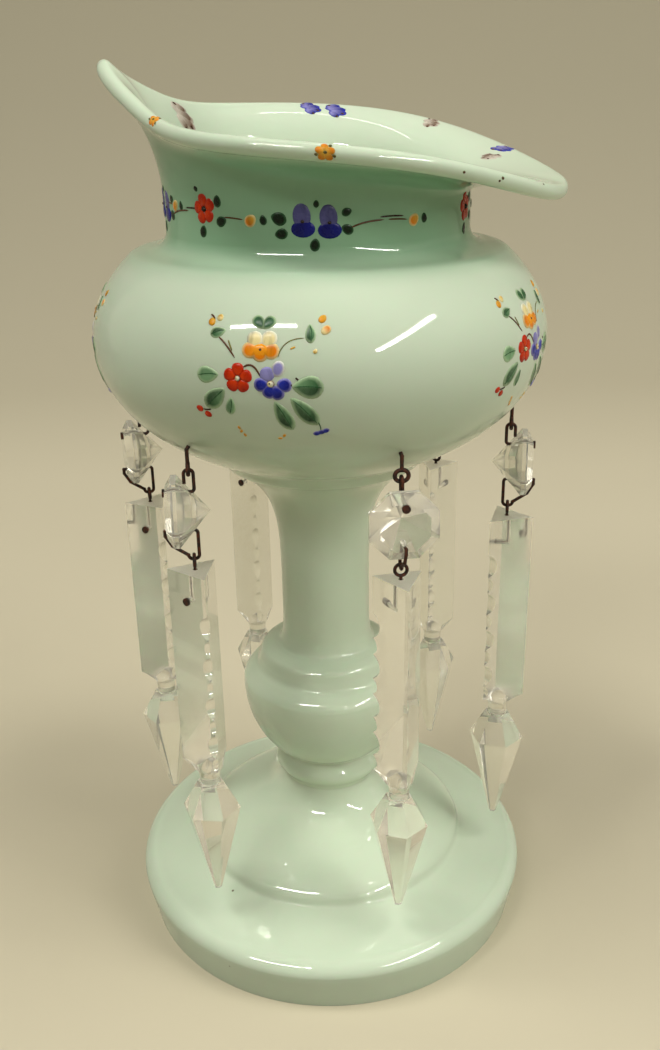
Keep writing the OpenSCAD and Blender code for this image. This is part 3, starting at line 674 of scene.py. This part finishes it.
# Its buds as place, size, turn and colours, then its gold flecks and its bluebell as place and turn
SPRAY_BUDS = (
    (-13.9, 13.4, 2.3, 60, YELLOW_PAINT),
    (-11.7, 14.6, 2.0, 60, (CREAM, GOLD, CREAM)),
    (14.6, 14.7, 2.3, 60, YELLOW_PAINT),
    (15.7, 11.8, 2.7, 220, (AMBER, CREAM, CREAM)),
    (13.4, 6.6, 1.3, 60, (GOLD, CREAM, CREAM)),
    (-18.0, -9.6, 2.2, 160, RED_PAINT),
    (-15.7, -11.1, 2.2, -30, RED_PAINT),
)
BUD_WIDTH, FLECK_SIZE, BELL_SIZE = 0.86, (1.5, 0.9), (2.1, 1.5)
SPRAY_FLECKS = ((-7.4, -14.6, 110), (-7.0, -15.8, 60), (-6.2, -17.1, 110),
                (3.2, -17.6, 10), (4.4, -16.6, 60))
BLUEBELL = ((12.9, -15.8, 200), (14.1, -15.4, 20), (15.3, -14.9, 30))


def stems(coat, place, table):
    """Painted lines from a table."""
    for *path, width, colour in table:
        vein(coat, place, path, width, colour)


def spray(coat, place):
    """Spray of the belly: stems, leaves, a heart leaf, three flowers, buds, flecks and a bluebell."""
    stems(coat, place, SPRAY_STEMS)
    for x, y, length, width, turn, base, split in SPRAY_LEAVES:
        dab(coat, place, x, y, length, width, turn, (base, LEAF, LEAF_PALE),
            taper=0.3, point=0.25, rise=0.24, split=split)
        cos, sin = cos_sin(turn)
        reach = length * LEAF_VEIN_REACH
        dx, dy = reach * cos, reach * sin
        path = ((x - dx, y - dy), (x + LEAF_VEIN_BOW, y + LEAF_VEIN_BOW), (x + dx, y + dy))
        vein(coat, place, path, LEAF_VEIN_WIDTH, LEAF_DARK, rise=0.3)
    for x, y, turn in HEART_LEAF:
        dab(coat, place, x, y, *HEART_LEAF_SIZE, turn, (LEAF_DARK, LEAF_DARK, LEAF_PALE),
            taper=-0.3, point=0.1)
    bloom(coat, place, -0.4, 6.6, 1.0, PRIMROSE)
    red_flower(coat, place, -6.3, -0.4, 7.4, 88.0)
    bloom(coat, place, 2.3, -1.5, 8.6, PANSY)
    for x, y, size, turn, colours in SPRAY_BUDS:
        dab(coat, place, x, y, size, size * BUD_WIDTH, turn, colours, taper=0.1, rise=0.32)
    for x, y, turn in SPRAY_FLECKS:
        dab(coat, place, x, y, *FLECK_SIZE, turn, (GOLD, ORANGE, CREAM), point=0.1, rise=0.24)
    for x, y, turn in BLUEBELL:
        dab(coat, place, x, y, *BELL_SIZE, turn, BLUE_PAINT, rise=0.28)


# Garland of the neck: leaves as place across and up, turn and size, then stems
RED_LEAVES = ((5.0, 2.2, 80, 3.4), (-0.8, -5.8, 70, 3.4), (6.0, -2.9, 20, 3.6), (-2.4, 5.6, 100, 2.6))
BLUE_LEAVES = ((-9.6, 1.2, 160, 4.4), (-9.0, -2.6, 190, 3.6), (8.0, 2.6, 20, 2.8),
               (8.2, -1.7, 150, 3.4), (0.2, 4.8, 90, 2.0), (-0.3, -5.4, 80, 3.4))
LEFT_BUD_LEAVES, RIGHT_BUD_LEAVES = ((-3.4, 0.2, 100, 2.7),), ((3.6, 0.2, 100, 2.7),)
BLUE_STEMS = (
    ((9.0, -1.4), (13.0, -0.2), (18.2, 0.2), 0.5, BROWN),
    ((17.0, 0.9), (20.5, 1.0), (24.0, 0.8), 0.45, UMBER),
)
SMALL_LEAF_WIDTH = 0.78
VIOLAS = ((-3.4, 0.2), (3.5, -0.2))


def small_leaves(coat, place, table):
    """Short, nearly black leaves with a greener edge."""
    for x, y, turn, size in table:
        dab(coat, place, x, y, size, size * SMALL_LEAF_WIDTH, turn, (LEAF_DEEP, LEAF_DEEP, LEAF_DARK),
            taper=0.15, point=0.15, rise=0.24, split=0.3)


def garland_red(coat, place):
    """Red flower of the neck with a dark heart and four leaves round it."""
    red_flower(coat, place, 0, 0, 7.6, 100.0)
    dab(coat, place, 0, 0, 1.5, 1.5, 0, DARK_SPOT, rise=0.75)
    small_leaves(coat, place, RED_LEAVES)


def garland_blue(coat, place):
    """Two blue flowers side by side, with a leaf above and below and two at each end."""
    for x, y in VIOLAS:
        bloom(coat, place, x, y, 1.0, VIOLA)
    small_leaves(coat, place, BLUE_LEAVES)
    stems(coat, place, BLUE_STEMS)


def garland_bud(coat, place, left):
    """Yellow bud with a dark leaf on one side and a stem on the other."""
    dab(coat, place, 0, 0, 3.6, 3.1, 40, (AMBER, GOLD, CREAM), taper=0.15)
    small_leaves(coat, place, LEFT_BUD_LEAVES if left else RIGHT_BUD_LEAVES)
    side = 1 if left else -1
    vein(coat, place, ((side * 2.2, 0.2), (side * 5.0, 0.5), (side * 8.0, 0.6)), 0.4, BROWN)


# Loose flowers of the rim: strokes and flecks as shares of the flower's size
RIM_STROKES = ((-0.14, 0.2, 0.6, 0.34, 10.0), (0.0, 0.06, 0.9, 0.34, 3.0),
               (0.14, -0.08, 0.8, 0.34, -5.0), (0.02, -0.22, 0.54, 0.3, -14.0))
RIM_FLECKS = ((0.36, -0.14), (-0.3, 0.22), (0.16, -0.32))


def rim_dabs(paint):
    """Dabs of a loose flower: four strokes side by side, darker at one end, and three flecks."""
    strokes = [(*stroke, paint, -0.1, 0.18) for stroke in RIM_STROKES]
    flecks = [(*fleck, 0.16, 0.1, 0.0, (UMBER, BROWN, BROWN), 0.0, 0.26) for fleck in RIM_FLECKS]
    return strokes + flecks


def edge_flower(coat, place, size):
    """Small gold flower on the rim's edge: a ring of petals and a dark fleck in each second gap."""
    for i in range(PETALS):
        angle = math.radians(GOLD_TILT + i * 360.0 / PETALS)
        turn = math.degrees(angle)
        reach = size * GOLD_REACH
        dab(coat, place, reach * math.cos(angle), reach * math.sin(angle), size * GOLD_LENGTH,
            size * GOLD_WIDTH, turn, (GOLD, AMBER, GOLD), rise=0.18)
        if i % 2 == 0:
            reach = size * FLECK_REACH
            dab(coat, place, reach * math.cos(angle + FLECK_TURN), reach * math.sin(angle + FLECK_TURN),
                size * FLECK_LENGTH, size * FLECK_WIDTH, turn, GRIT_PAINT, rise=0.24)
    dab(coat, place, 0, 0, size * 0.24, size * 0.2, 0, GRIT_PAINT)


# Sprays: direction of the first, height along the oval and count
SPRAY_TURN, SPRAY_CLIMB, SPRAY_COUNT = -102.5, 2.1, 5

# Garland: direction and height, and whether a bud's leaf is on its left
RED_PLACES = ((-132.0, 246.6), (-23.5, 244.4), (85.0, 245.0))
BLUE_PLACES = ((-90.7, 243.6), (17.8, 244.0), (126.3, 244.6), (196.0, 245.6))
BUD_PLACES = (
    (-112.9, 244.2, False), (-55.8, 243.2, False), (-4.4, 244.0, True), (52.7, 244.0, False),
    (104.0, 244.6, True), (161.0, 245.0, False), (-150.4, 246.6, False),
)

# Rim: direction, share of the lip or angle over its edge, size, then a loose flower's turn and dabs
RIM_BLUE = rim_dabs((LILAC, DEEP_BLUE, BLUE))
RIM_BROWN = rim_dabs((PALE_GREY, BROWN, PALE_GREY))
RIM_FLOWERS = (
    (152.0, 0.74, 12.0, 150.0, RIM_BROWN),
    (92.0, 0.9, 8.0, 176.0, RIM_BLUE),
    (83.0, 0.87, 8.6, 172.0, RIM_BLUE),
    (49.0, 0.9, 7.0, 176.0, RIM_BROWN),
    (22.0, 0.9, 6.4, 175.0, RIM_BLUE),
    (15.0, 0.66, 7.0, 5.0, RIM_BROWN),
)
EDGE_FLOWERS = ((-145.0, 1.9, 3.6), (-88.0, 1.6, 4.2))
EDGE_DOTS = ((-54.0, 1.55, 0.9), (-42.0, 1.9, 1.1), (-43.0, 1.5, 0.8), (-25.0, 2.5, 0.8))


def paint_vase():
    """Enamel of the belly's sprays, the neck's garland and the rim's scattered flowers."""
    belly = Enamel()
    for i in range(SPRAY_COUNT):
        spray(belly, on_belly(SPRAY_TURN + i * 360.0 / SPRAY_COUNT, SPRAY_CLIMB))
    garland = Enamel()
    for turn, height in RED_PLACES:
        garland_red(garland, on_neck(turn, height))
    for turn, height in BLUE_PLACES:
        garland_blue(garland, on_neck(turn, height))
    for turn, height, left in BUD_PLACES:
        garland_bud(garland, on_neck(turn, height), left)
    rim = Enamel()
    for turn, share, size, lean, dabs in RIM_FLOWERS:
        bloom(rim, on_lip(turn, share), 0.0, 0.0, size, dabs, lean)
    for turn, over, size in EDGE_FLOWERS:
        edge_flower(rim, on_edge(turn, over), size)
    for turn, over, size in EDGE_DOTS:
        dab(rim, on_edge(turn, over), 0, 0, size, size * 0.8, 30, (UMBER, BROWN, OLIVE), rise=0.12)
    return belly.piece("enamel_sprays"), garland.piece("enamel_garland"), rim.piece("enamel_rim")


# Finishes

OPALINE_DEEP, OPALINE_PALE = shade(200, 216, 190), shade(210, 224, 199)
# Next line, first colour: a deeper green painted on the neck as the lip's shade
OPALINE_NECK_SHADE, GRIT_BROWN = shade(138, 180, 144), shade(96, 84, 60)
CRYSTAL_TINT = shade(250, 248, 240)
IRON_SCALE, RUST = shade(34, 24, 20), shade(92, 48, 30)
FULL_PAINT, THIN_PAINT = (1.0, 1.0, 1.0), (0.62, 0.62, 0.62)


def set_inputs(node, **values):
    """Sets inputs of a node by name, with _ for a space."""
    for key, value in values.items():
        node.inputs[key.replace("_", " ")].default_value = value


def add_node(tree, kind, **values):
    """New shader node of a kind, with its inputs set by name."""
    node = tree.nodes.new("ShaderNode" + kind)
    set_inputs(node, **values)
    return node


def add_math(tree, operation, clamped=False):
    """Math node."""
    node = add_node(tree, "Math")
    node.operation = operation
    node.use_clamp = clamped
    return node


def connect(tree, links):
    """Links nodes: each link is a node and its output, then a node and its input."""
    for source, output, target, entry in links:
        tree.links.new(source.outputs[output], target.inputs[entry])


def attribute(tree, name):
    """Attribute node that reads a layer of the mesh."""
    node = add_node(tree, "Attribute")
    node.attribute_name = name
    return node


def blend_colours(tree, low, high):
    """Mix node between two linear colours."""
    mix = add_node(tree, "Mix")
    mix.data_type = "RGBA"
    mix.inputs["A"].default_value = (*low, 1.0)
    mix.inputs["B"].default_value = (*high, 1.0)
    return mix


def spread(tree, low, high, start=0.3, stop=0.7):
    """Map Range node that takes values between start and stop to a range."""
    return add_node(tree, "MapRange", From_Min=start, From_Max=stop, To_Min=low, To_Max=high)


def flow_group():
    """Group for blown glass: slow streaks that run down the piece, wiped smears, and rare dark grit."""
    tree = bpy.data.node_groups.new("glass_flow", "ShaderNodeTree")
    for name, default in (("Streak Scale", 18.0), ("Smear Scale", 40.0), ("Grit Scale", 90.0)):
        socket = tree.interface.new_socket(name=name, in_out="INPUT", socket_type="NodeSocketFloat")
        socket.default_value = default
    for name in ("Streak", "Smear", "Grit"):
        tree.interface.new_socket(name=name, in_out="OUTPUT", socket_type="NodeSocketFloat")
    start = tree.nodes.new("NodeGroupInput")
    end = tree.nodes.new("NodeGroupOutput")
    place = add_node(tree, "TexCoord")
    stretch = add_node(tree, "Mapping", Scale=(1.0, 1.0, 0.25))
    streak = add_node(tree, "TexNoise", Detail=3.0, Roughness=0.45, Distortion=0.8)
    smear = add_node(tree, "TexNoise", Detail=5.0, Roughness=0.6, Distortion=0.4)
    grit = add_node(tree, "TexVoronoi")
    near = spread(tree, 1.0, 0.0, 0.03, 0.05)
    cell = add_node(tree, "SeparateColor")
    rare = add_math(tree, "GREATER_THAN")
    rare.inputs[1].default_value = 0.93
    both = add_math(tree, "MULTIPLY")
    connect(tree, [
        (place, "Object", stretch, "Vector"),
        (stretch, "Vector", streak, "Vector"),
        (place, "Object", smear, "Vector"),
        (place, "Object", grit, "Vector"),
        (start, "Streak Scale", streak, "Scale"),
        (start, "Smear Scale", smear, "Scale"),
        (start, "Grit Scale", grit, "Scale"),
        (grit, "Distance", near, "Value"),
        (grit, "Color", cell, "Color"),
        (cell, "Red", rare, 0),
        (near, "Result", both, 0),
        (rare, "Value", both, 1),
        (streak, "Fac", end, "Streak"),
        (smear, "Fac", end, "Smear"),
        (both, "Value", end, "Grit"),
    ])
    return tree


FLOW = flow_group()


def new_finish(name):
    """Empty material with its Principled shader and its node tree."""
    material = bpy.data.materials.new(name)
    material.use_nodes = True
    tree = material.node_tree
    return material, tree.nodes["Principled BSDF"], tree


def place_flow(tree, **values):
    """The group for blown glass set into a material with its own input values."""
    node = add_node(tree, "Group")
    node.node_tree = FLOW
    set_inputs(node, **values)
    return node


def vary_gloss(tree, shader, flow, low, high):
    """Roughness that runs from low to high with the smears."""
    gloss = spread(tree, low, high)
    connect(tree, [(flow, "Smear", gloss, "Value"), (gloss, "Result", shader, "Roughness")])


def add_swell(tree, shader, flow, output, strength, distance):
    """Fine unevenness of the surface, from one output of the group for blown glass."""
    swell = add_node(tree, "Bump", Strength=strength, Distance=distance)
    connect(tree, [(flow, output, swell, "Height"), (swell, "Normal", shader, "Normal")])


def opaline_finish():
    """Milky pale green glass, painted a deeper green on the neck as the lip's shade: light sinks in
    a little, streaks tint it and smears vary its gloss."""
    material, shader, tree = new_finish("opaline_glass")
    flow = place_flow(tree)
    tint = blend_colours(tree, OPALINE_DEEP, OPALINE_PALE)
    # Painted shade: the neck under the lip is tinted the deeper green
    painted_neck_shade = attribute(tree, "painted_neck_shade")
    deeper = blend_colours(tree, OPALINE_DEEP, OPALINE_NECK_SHADE)
    specks = blend_colours(tree, OPALINE_DEEP, GRIT_BROWN)
    connect(tree, [
        (flow, "Streak", tint, "Factor"),
        (tint, "Result", deeper, "A"),
        (painted_neck_shade, "Fac", deeper, "Factor"),
        (deeper, "Result", specks, "A"),
        (flow, "Grit", specks, "Factor"),
        (specks, "Result", shader, "Base Color"),
    ])
    vary_gloss(tree, shader, flow, 0.02, 0.07)
    add_swell(tree, shader, flow, "Streak", 0.04, 0.002)
    set_inputs(shader, IOR=1.5, Subsurface_Weight=0.3)
    set_inputs(shader, Subsurface_Radius=(0.6, 1.0, 0.75), Subsurface_Scale=0.002)
    return material


def crystal_finish():
    """Clear cut glass with a faint warm cast: polished facets with a few smears, ground ends."""
    material, shader, tree = new_finish("cut_crystal")
    flow = place_flow(tree, Smear_Scale=220.0)
    gloss = spread(tree, 0.0, 0.06, 0.45, 0.75)
    place = add_node(tree, "TexCoord")
    facing = add_node(tree, "SeparateXYZ")
    ground = spread(tree, 0.0, 0.8, 0.9, 0.95)
    rough = add_math(tree, "ADD")
    connect(tree, [
        (place, "Normal", facing, "Vector"),
        (facing, "Z", ground, "Value"),
        (flow, "Smear", gloss, "Value"),
        (gloss, "Result", rough, 0),
        (ground, "Result", rough, 1),
        (rough, "Value", shader, "Roughness"),
    ])
    set_inputs(shader, Base_Color=(*CRYSTAL_TINT, 1.0), Transmission_Weight=0.86, IOR=1.53)
    return material


def wire_finish():
    """Iron wire browned with rust: dark scale with redder, rougher patches."""
    material, shader, tree = new_finish("rusted_wire")
    flow = place_flow(tree, Smear_Scale=900.0, Streak_Scale=400.0)
    rust = blend_colours(tree, IRON_SCALE, RUST)
    patch = spread(tree, 0.0, 1.0, 0.45, 0.65)
    connect(tree, [
        (flow, "Smear", patch, "Value"),
        (patch, "Result", rust, "Factor"),
        (rust, "Result", shader, "Base Color"),
    ])
    vary_gloss(tree, shader, flow, 0.45, 0.8)
    add_swell(tree, shader, flow, "Smear", 0.5, 0.0002)
    set_inputs(shader, Metallic=0.6)
    return material


def enamel_finish():
    """Fired enamel: the colour laid on each dab, with brushed thin places and a soft gloss."""
    material, shader, tree = new_finish("fired_enamel")
    flow = place_flow(tree, Smear_Scale=700.0, Streak_Scale=420.0)
    colour = attribute(tree, "paint")
    thin = blend_colours(tree, FULL_PAINT, THIN_PAINT)
    thin.blend_type = "MULTIPLY"
    patch = spread(tree, 0.0, 0.8, 0.48, 0.7)
    connect(tree, [
        (colour, "Color", thin, "A"),
        (flow, "Streak", patch, "Value"),
        (patch, "Result", thin, "Factor"),
        (thin, "Result", shader, "Base Color"),
    ])
    vary_gloss(tree, shader, flow, 0.18, 0.34)
    add_swell(tree, shader, flow, "Streak", 0.35, 0.00015)
    set_inputs(shader, Specular_IOR_Level=0.18)
    return material


def finish_piece(piece, material, body, slot, *replaced):
    """Gives a new piece its finish and its body, and hides the solids that it stands for. The slot is
    not used.
    """
    piece.data.materials.append(material)
    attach(piece, body)
    if replaced:
        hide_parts(*replaced)


def finish_solid(node, material):
    """Gives a solid of the frame its finish."""
    for slot in nodes[node].material_slots:
        slot.material = material


opaline = opaline_finish()
crystal = crystal_finish()
wire = wire_finish()
enamel = enamel_finish()

VASE = ((foot_piece, "foot"), (collar_piece, "collar"), (stem_piece, "stem"), (bowl_piece, "bowl"))
for make, node in VASE:
    finish_piece(make(), opaline, "vase", "opaline", node)
for painted in paint_vase():
    finish_piece(painted, enamel, "vase", "opaline")
for k in range(1, DROPS + 1):
    for kind in ("octagon", "prism"):
        finish_solid("%s_%d" % (kind, k), crystal)
    for kind in ("hook", "upper_pin", "lower_pin", "prism_wire"):
        finish_solid("%s_%d" % (kind, k), wire)


# Stage

# Floor, in millimetres: where it bends up, the bend's radius, half its width, its top and its gap
FLOOR_BACK, FLOOR_BEND, FLOOR_HALF, FLOOR_TOP, FLOOR_GAP = 700.0, 500.0, 1500.0, 2600.0, 0.05
# The third colour is painted shade: the floor darker towards the back and up the wall
FLOOR_TONE, FLOOR_PALE, FLOOR_PAINTED_SHADE = shade(196, 187, 160), shade(206, 198, 172), shade(172, 165, 141)
FLOOR_BOUNCE = shade(156, 152, 132)

# Lamps: ends in metres, width, power in watts, and whether the lamp is only a highlight
LAMPS = (
    ("ceiling_left", (-1.2, 0.1, 2.2), (-0.5, -0.7, 2.2), 0.4, 24.0, False),
    ("ceiling_right", (0.5, -0.7, 2.2), (1.2, 0.1, 2.2), 0.4, 15.0, False),
    ("fill_right", (1.2, -1.1, 1.1), (1.7, -0.3, 1.1), 1.0, 16.0, False),
    ("fill_left", (-1.72, -1.38, 1.96), (-0.46, -1.90, 2.24), 0.4, 19.0, False),
    ("tube_front", (-1.38, -1.10, 1.61), (-0.37, -1.52, 1.83), 0.10, 30.0, True),
    ("tube_over", (-0.73, 0.40, 2.2), (0.82, 0.40, 2.2), 0.05, 3.0, True),
    ("window_right", (0.67, -1.32, 0.72), (1.12, -0.46, 1.17), 0.07, 13.0, True),
)
LAMP_TINT, LAMP_AIM = (1.0, 0.98, 0.94), (0, 0, 0.2)
ROOM_STRENGTH = 0.03

# Camera: place in metres, pitch and roll in degrees, lens and sensor in millimetres, frame's shift
CAMERA_PLACE, CAMERA_PITCH, CAMERA_ROLL = (0.0, -0.321, 0.2742), 22.17, -1.22
CAMERA_LENS, CAMERA_SENSOR, CAMERA_SHIFT = 35.76, 36.0, (0.0055, -0.0055)
CAMERA_NEAR = 0.01


def floor_finish():
    """Plain matt floor, painted dimmer further back as shade, that throws less light on the vase than
    it shows.
    """
    material, shader, tree = new_finish("plain_floor")
    noise = add_node(tree, "TexNoise", Scale=3.0, Detail=2.0)
    tone = blend_colours(tree, FLOOR_TONE, FLOOR_PALE)
    place = add_node(tree, "TexCoord")
    depth = add_node(tree, "SeparateXYZ")
    rise = spread(tree, 0.0, 1.0, 0.45, 1.15)
    # Painted shade: the floor's colour dims towards the back
    dimmer = blend_colours(tree, FLOOR_PALE, FLOOR_PAINTED_SHADE)
    path = add_node(tree, "LightPath")
    bounce = blend_colours(tree, FLOOR_PALE, FLOOR_BOUNCE)
    connect(tree, [
        (noise, "Fac", tone, "Factor"),
        (place, "Object", depth, "Vector"),
        (depth, "Y", rise, "Value"),
        (rise, "Result", dimmer, "Factor"),
        (tone, "Result", dimmer, "A"),
        (dimmer, "Result", bounce, "A"),
        (path, "Is Diffuse Ray", bounce, "Factor"),
        (bounce, "Result", shader, "Base Color"),
    ])
    set_inputs(shader, Roughness=0.9)
    return material


def backdrop():
    """Plain floor that sweeps up behind: level, then a quarter circle, then upright."""
    turn = np.linspace(0.0, np.pi / 2, 24)
    wall = FLOOR_BACK + FLOOR_BEND
    bend = np.stack([FLOOR_BACK + FLOOR_BEND * np.sin(turn), FLOOR_BEND * (1 - np.cos(turn))], axis=1)
    sweep = joined(
        line((-FLOOR_HALF, 0), (FLOOR_BACK, 0), 4),
        bend,
        line((wall, FLOOR_BEND), (wall, FLOOR_TOP), 4),
    )
    x = np.linspace(-FLOOR_HALF, FLOOR_HALF, 4)[:, None]
    y, z = sweep.T
    points = np.stack([x + 0 * y, y + 0 * x, z + 0 * x - FLOOR_GAP], axis=-1)
    piece = mesh_piece("floor", points.reshape(-1, 3), grid_faces(4, len(sweep), False, False))
    piece.data.materials.append(floor_finish())


def strip_lamp(name, start, stop, width, power, shine):
    """Area light of the given width between two points, facing the bowl: either soft light that
    leaves no highlight, or a shine that is only a highlight."""
    start, stop = Vector(start), Vector(stop)
    lamp = bpy.data.lights.new(name, "AREA")
    lamp.shape = "RECTANGLE"
    lamp.size = (stop - start).length
    lamp.size_y = width
    lamp.energy = power
    lamp.color = LAMP_TINT
    holder = bpy.data.objects.new(name, lamp)
    centre = (start + stop) / 2
    away = (centre - Vector(LAMP_AIM)).normalized()
    along = (stop - start).normalized()
    up = away.cross(along).normalized()
    along = up.cross(away).normalized()
    turn = Matrix((along, up, away)).transposed().to_4x4()
    holder.matrix_world = Matrix.Translation(centre) @ turn
    holder.visible_glossy = shine
    holder.visible_diffuse = not shine
    bpy.context.scene.collection.objects.link(holder)


def set_light():
    """Soft light from two sides of the ceiling, from the right and from the left, and two tubes and
    a window that shine. The room beyond is faint, but pale where it is seen."""
    for lamp in LAMPS:
        strip_lamp(*lamp)
    world = bpy.data.worlds.new("surround")
    bpy.context.scene.world = world
    world.use_nodes = True
    tree = world.node_tree
    faint = tree.nodes["Background"]
    set_inputs(faint, Color=(*LAMP_TINT, 1.0), Strength=ROOM_STRENGTH)
    pale = add_node(tree, "Background", Color=(*FLOOR_TONE, 1.0))
    rays = add_node(tree, "LightPath")
    seen = add_math(tree, "ADD")
    either = add_math(tree, "ADD", clamped=True)
    mix = add_node(tree, "MixShader")
    connect(tree, [
        (rays, "Is Camera Ray", seen, 0),
        (rays, "Is Glossy Ray", seen, 1),
        (seen, "Value", either, 0),
        (rays, "Is Transmission Ray", either, 1),
        (either, "Value", mix, "Fac"),
        (faint, "Background", mix, 1),
        (pale, "Background", mix, 2),
        (mix, "Shader", tree.nodes["World Output"], "Surface"),
    ])


def set_camera():
    """Camera of the photograph: its place, pitch and roll, and the small shift of its frame."""
    camera = bpy.data.cameras.new("camera")
    camera.sensor_fit = "AUTO"
    camera.sensor_width = CAMERA_SENSOR
    camera.lens = CAMERA_LENS
    camera.shift_x, camera.shift_y = CAMERA_SHIFT
    camera.clip_start = CAMERA_NEAR
    holder = bpy.data.objects.new("camera", camera)
    pitch, roll = math.radians(CAMERA_PITCH), math.radians(CAMERA_ROLL)
    turn = Matrix.Rotation(math.pi / 2 - pitch, 4, "X") @ Matrix.Rotation(roll, 4, "Z")
    holder.matrix_world = Matrix.Translation(CAMERA_PLACE) @ turn
    bpy.context.scene.collection.objects.link(holder)
    bpy.context.scene.camera = holder


backdrop()
set_light()
set_camera()
bpy.context.scene.view_settings.view_transform = "Standard"
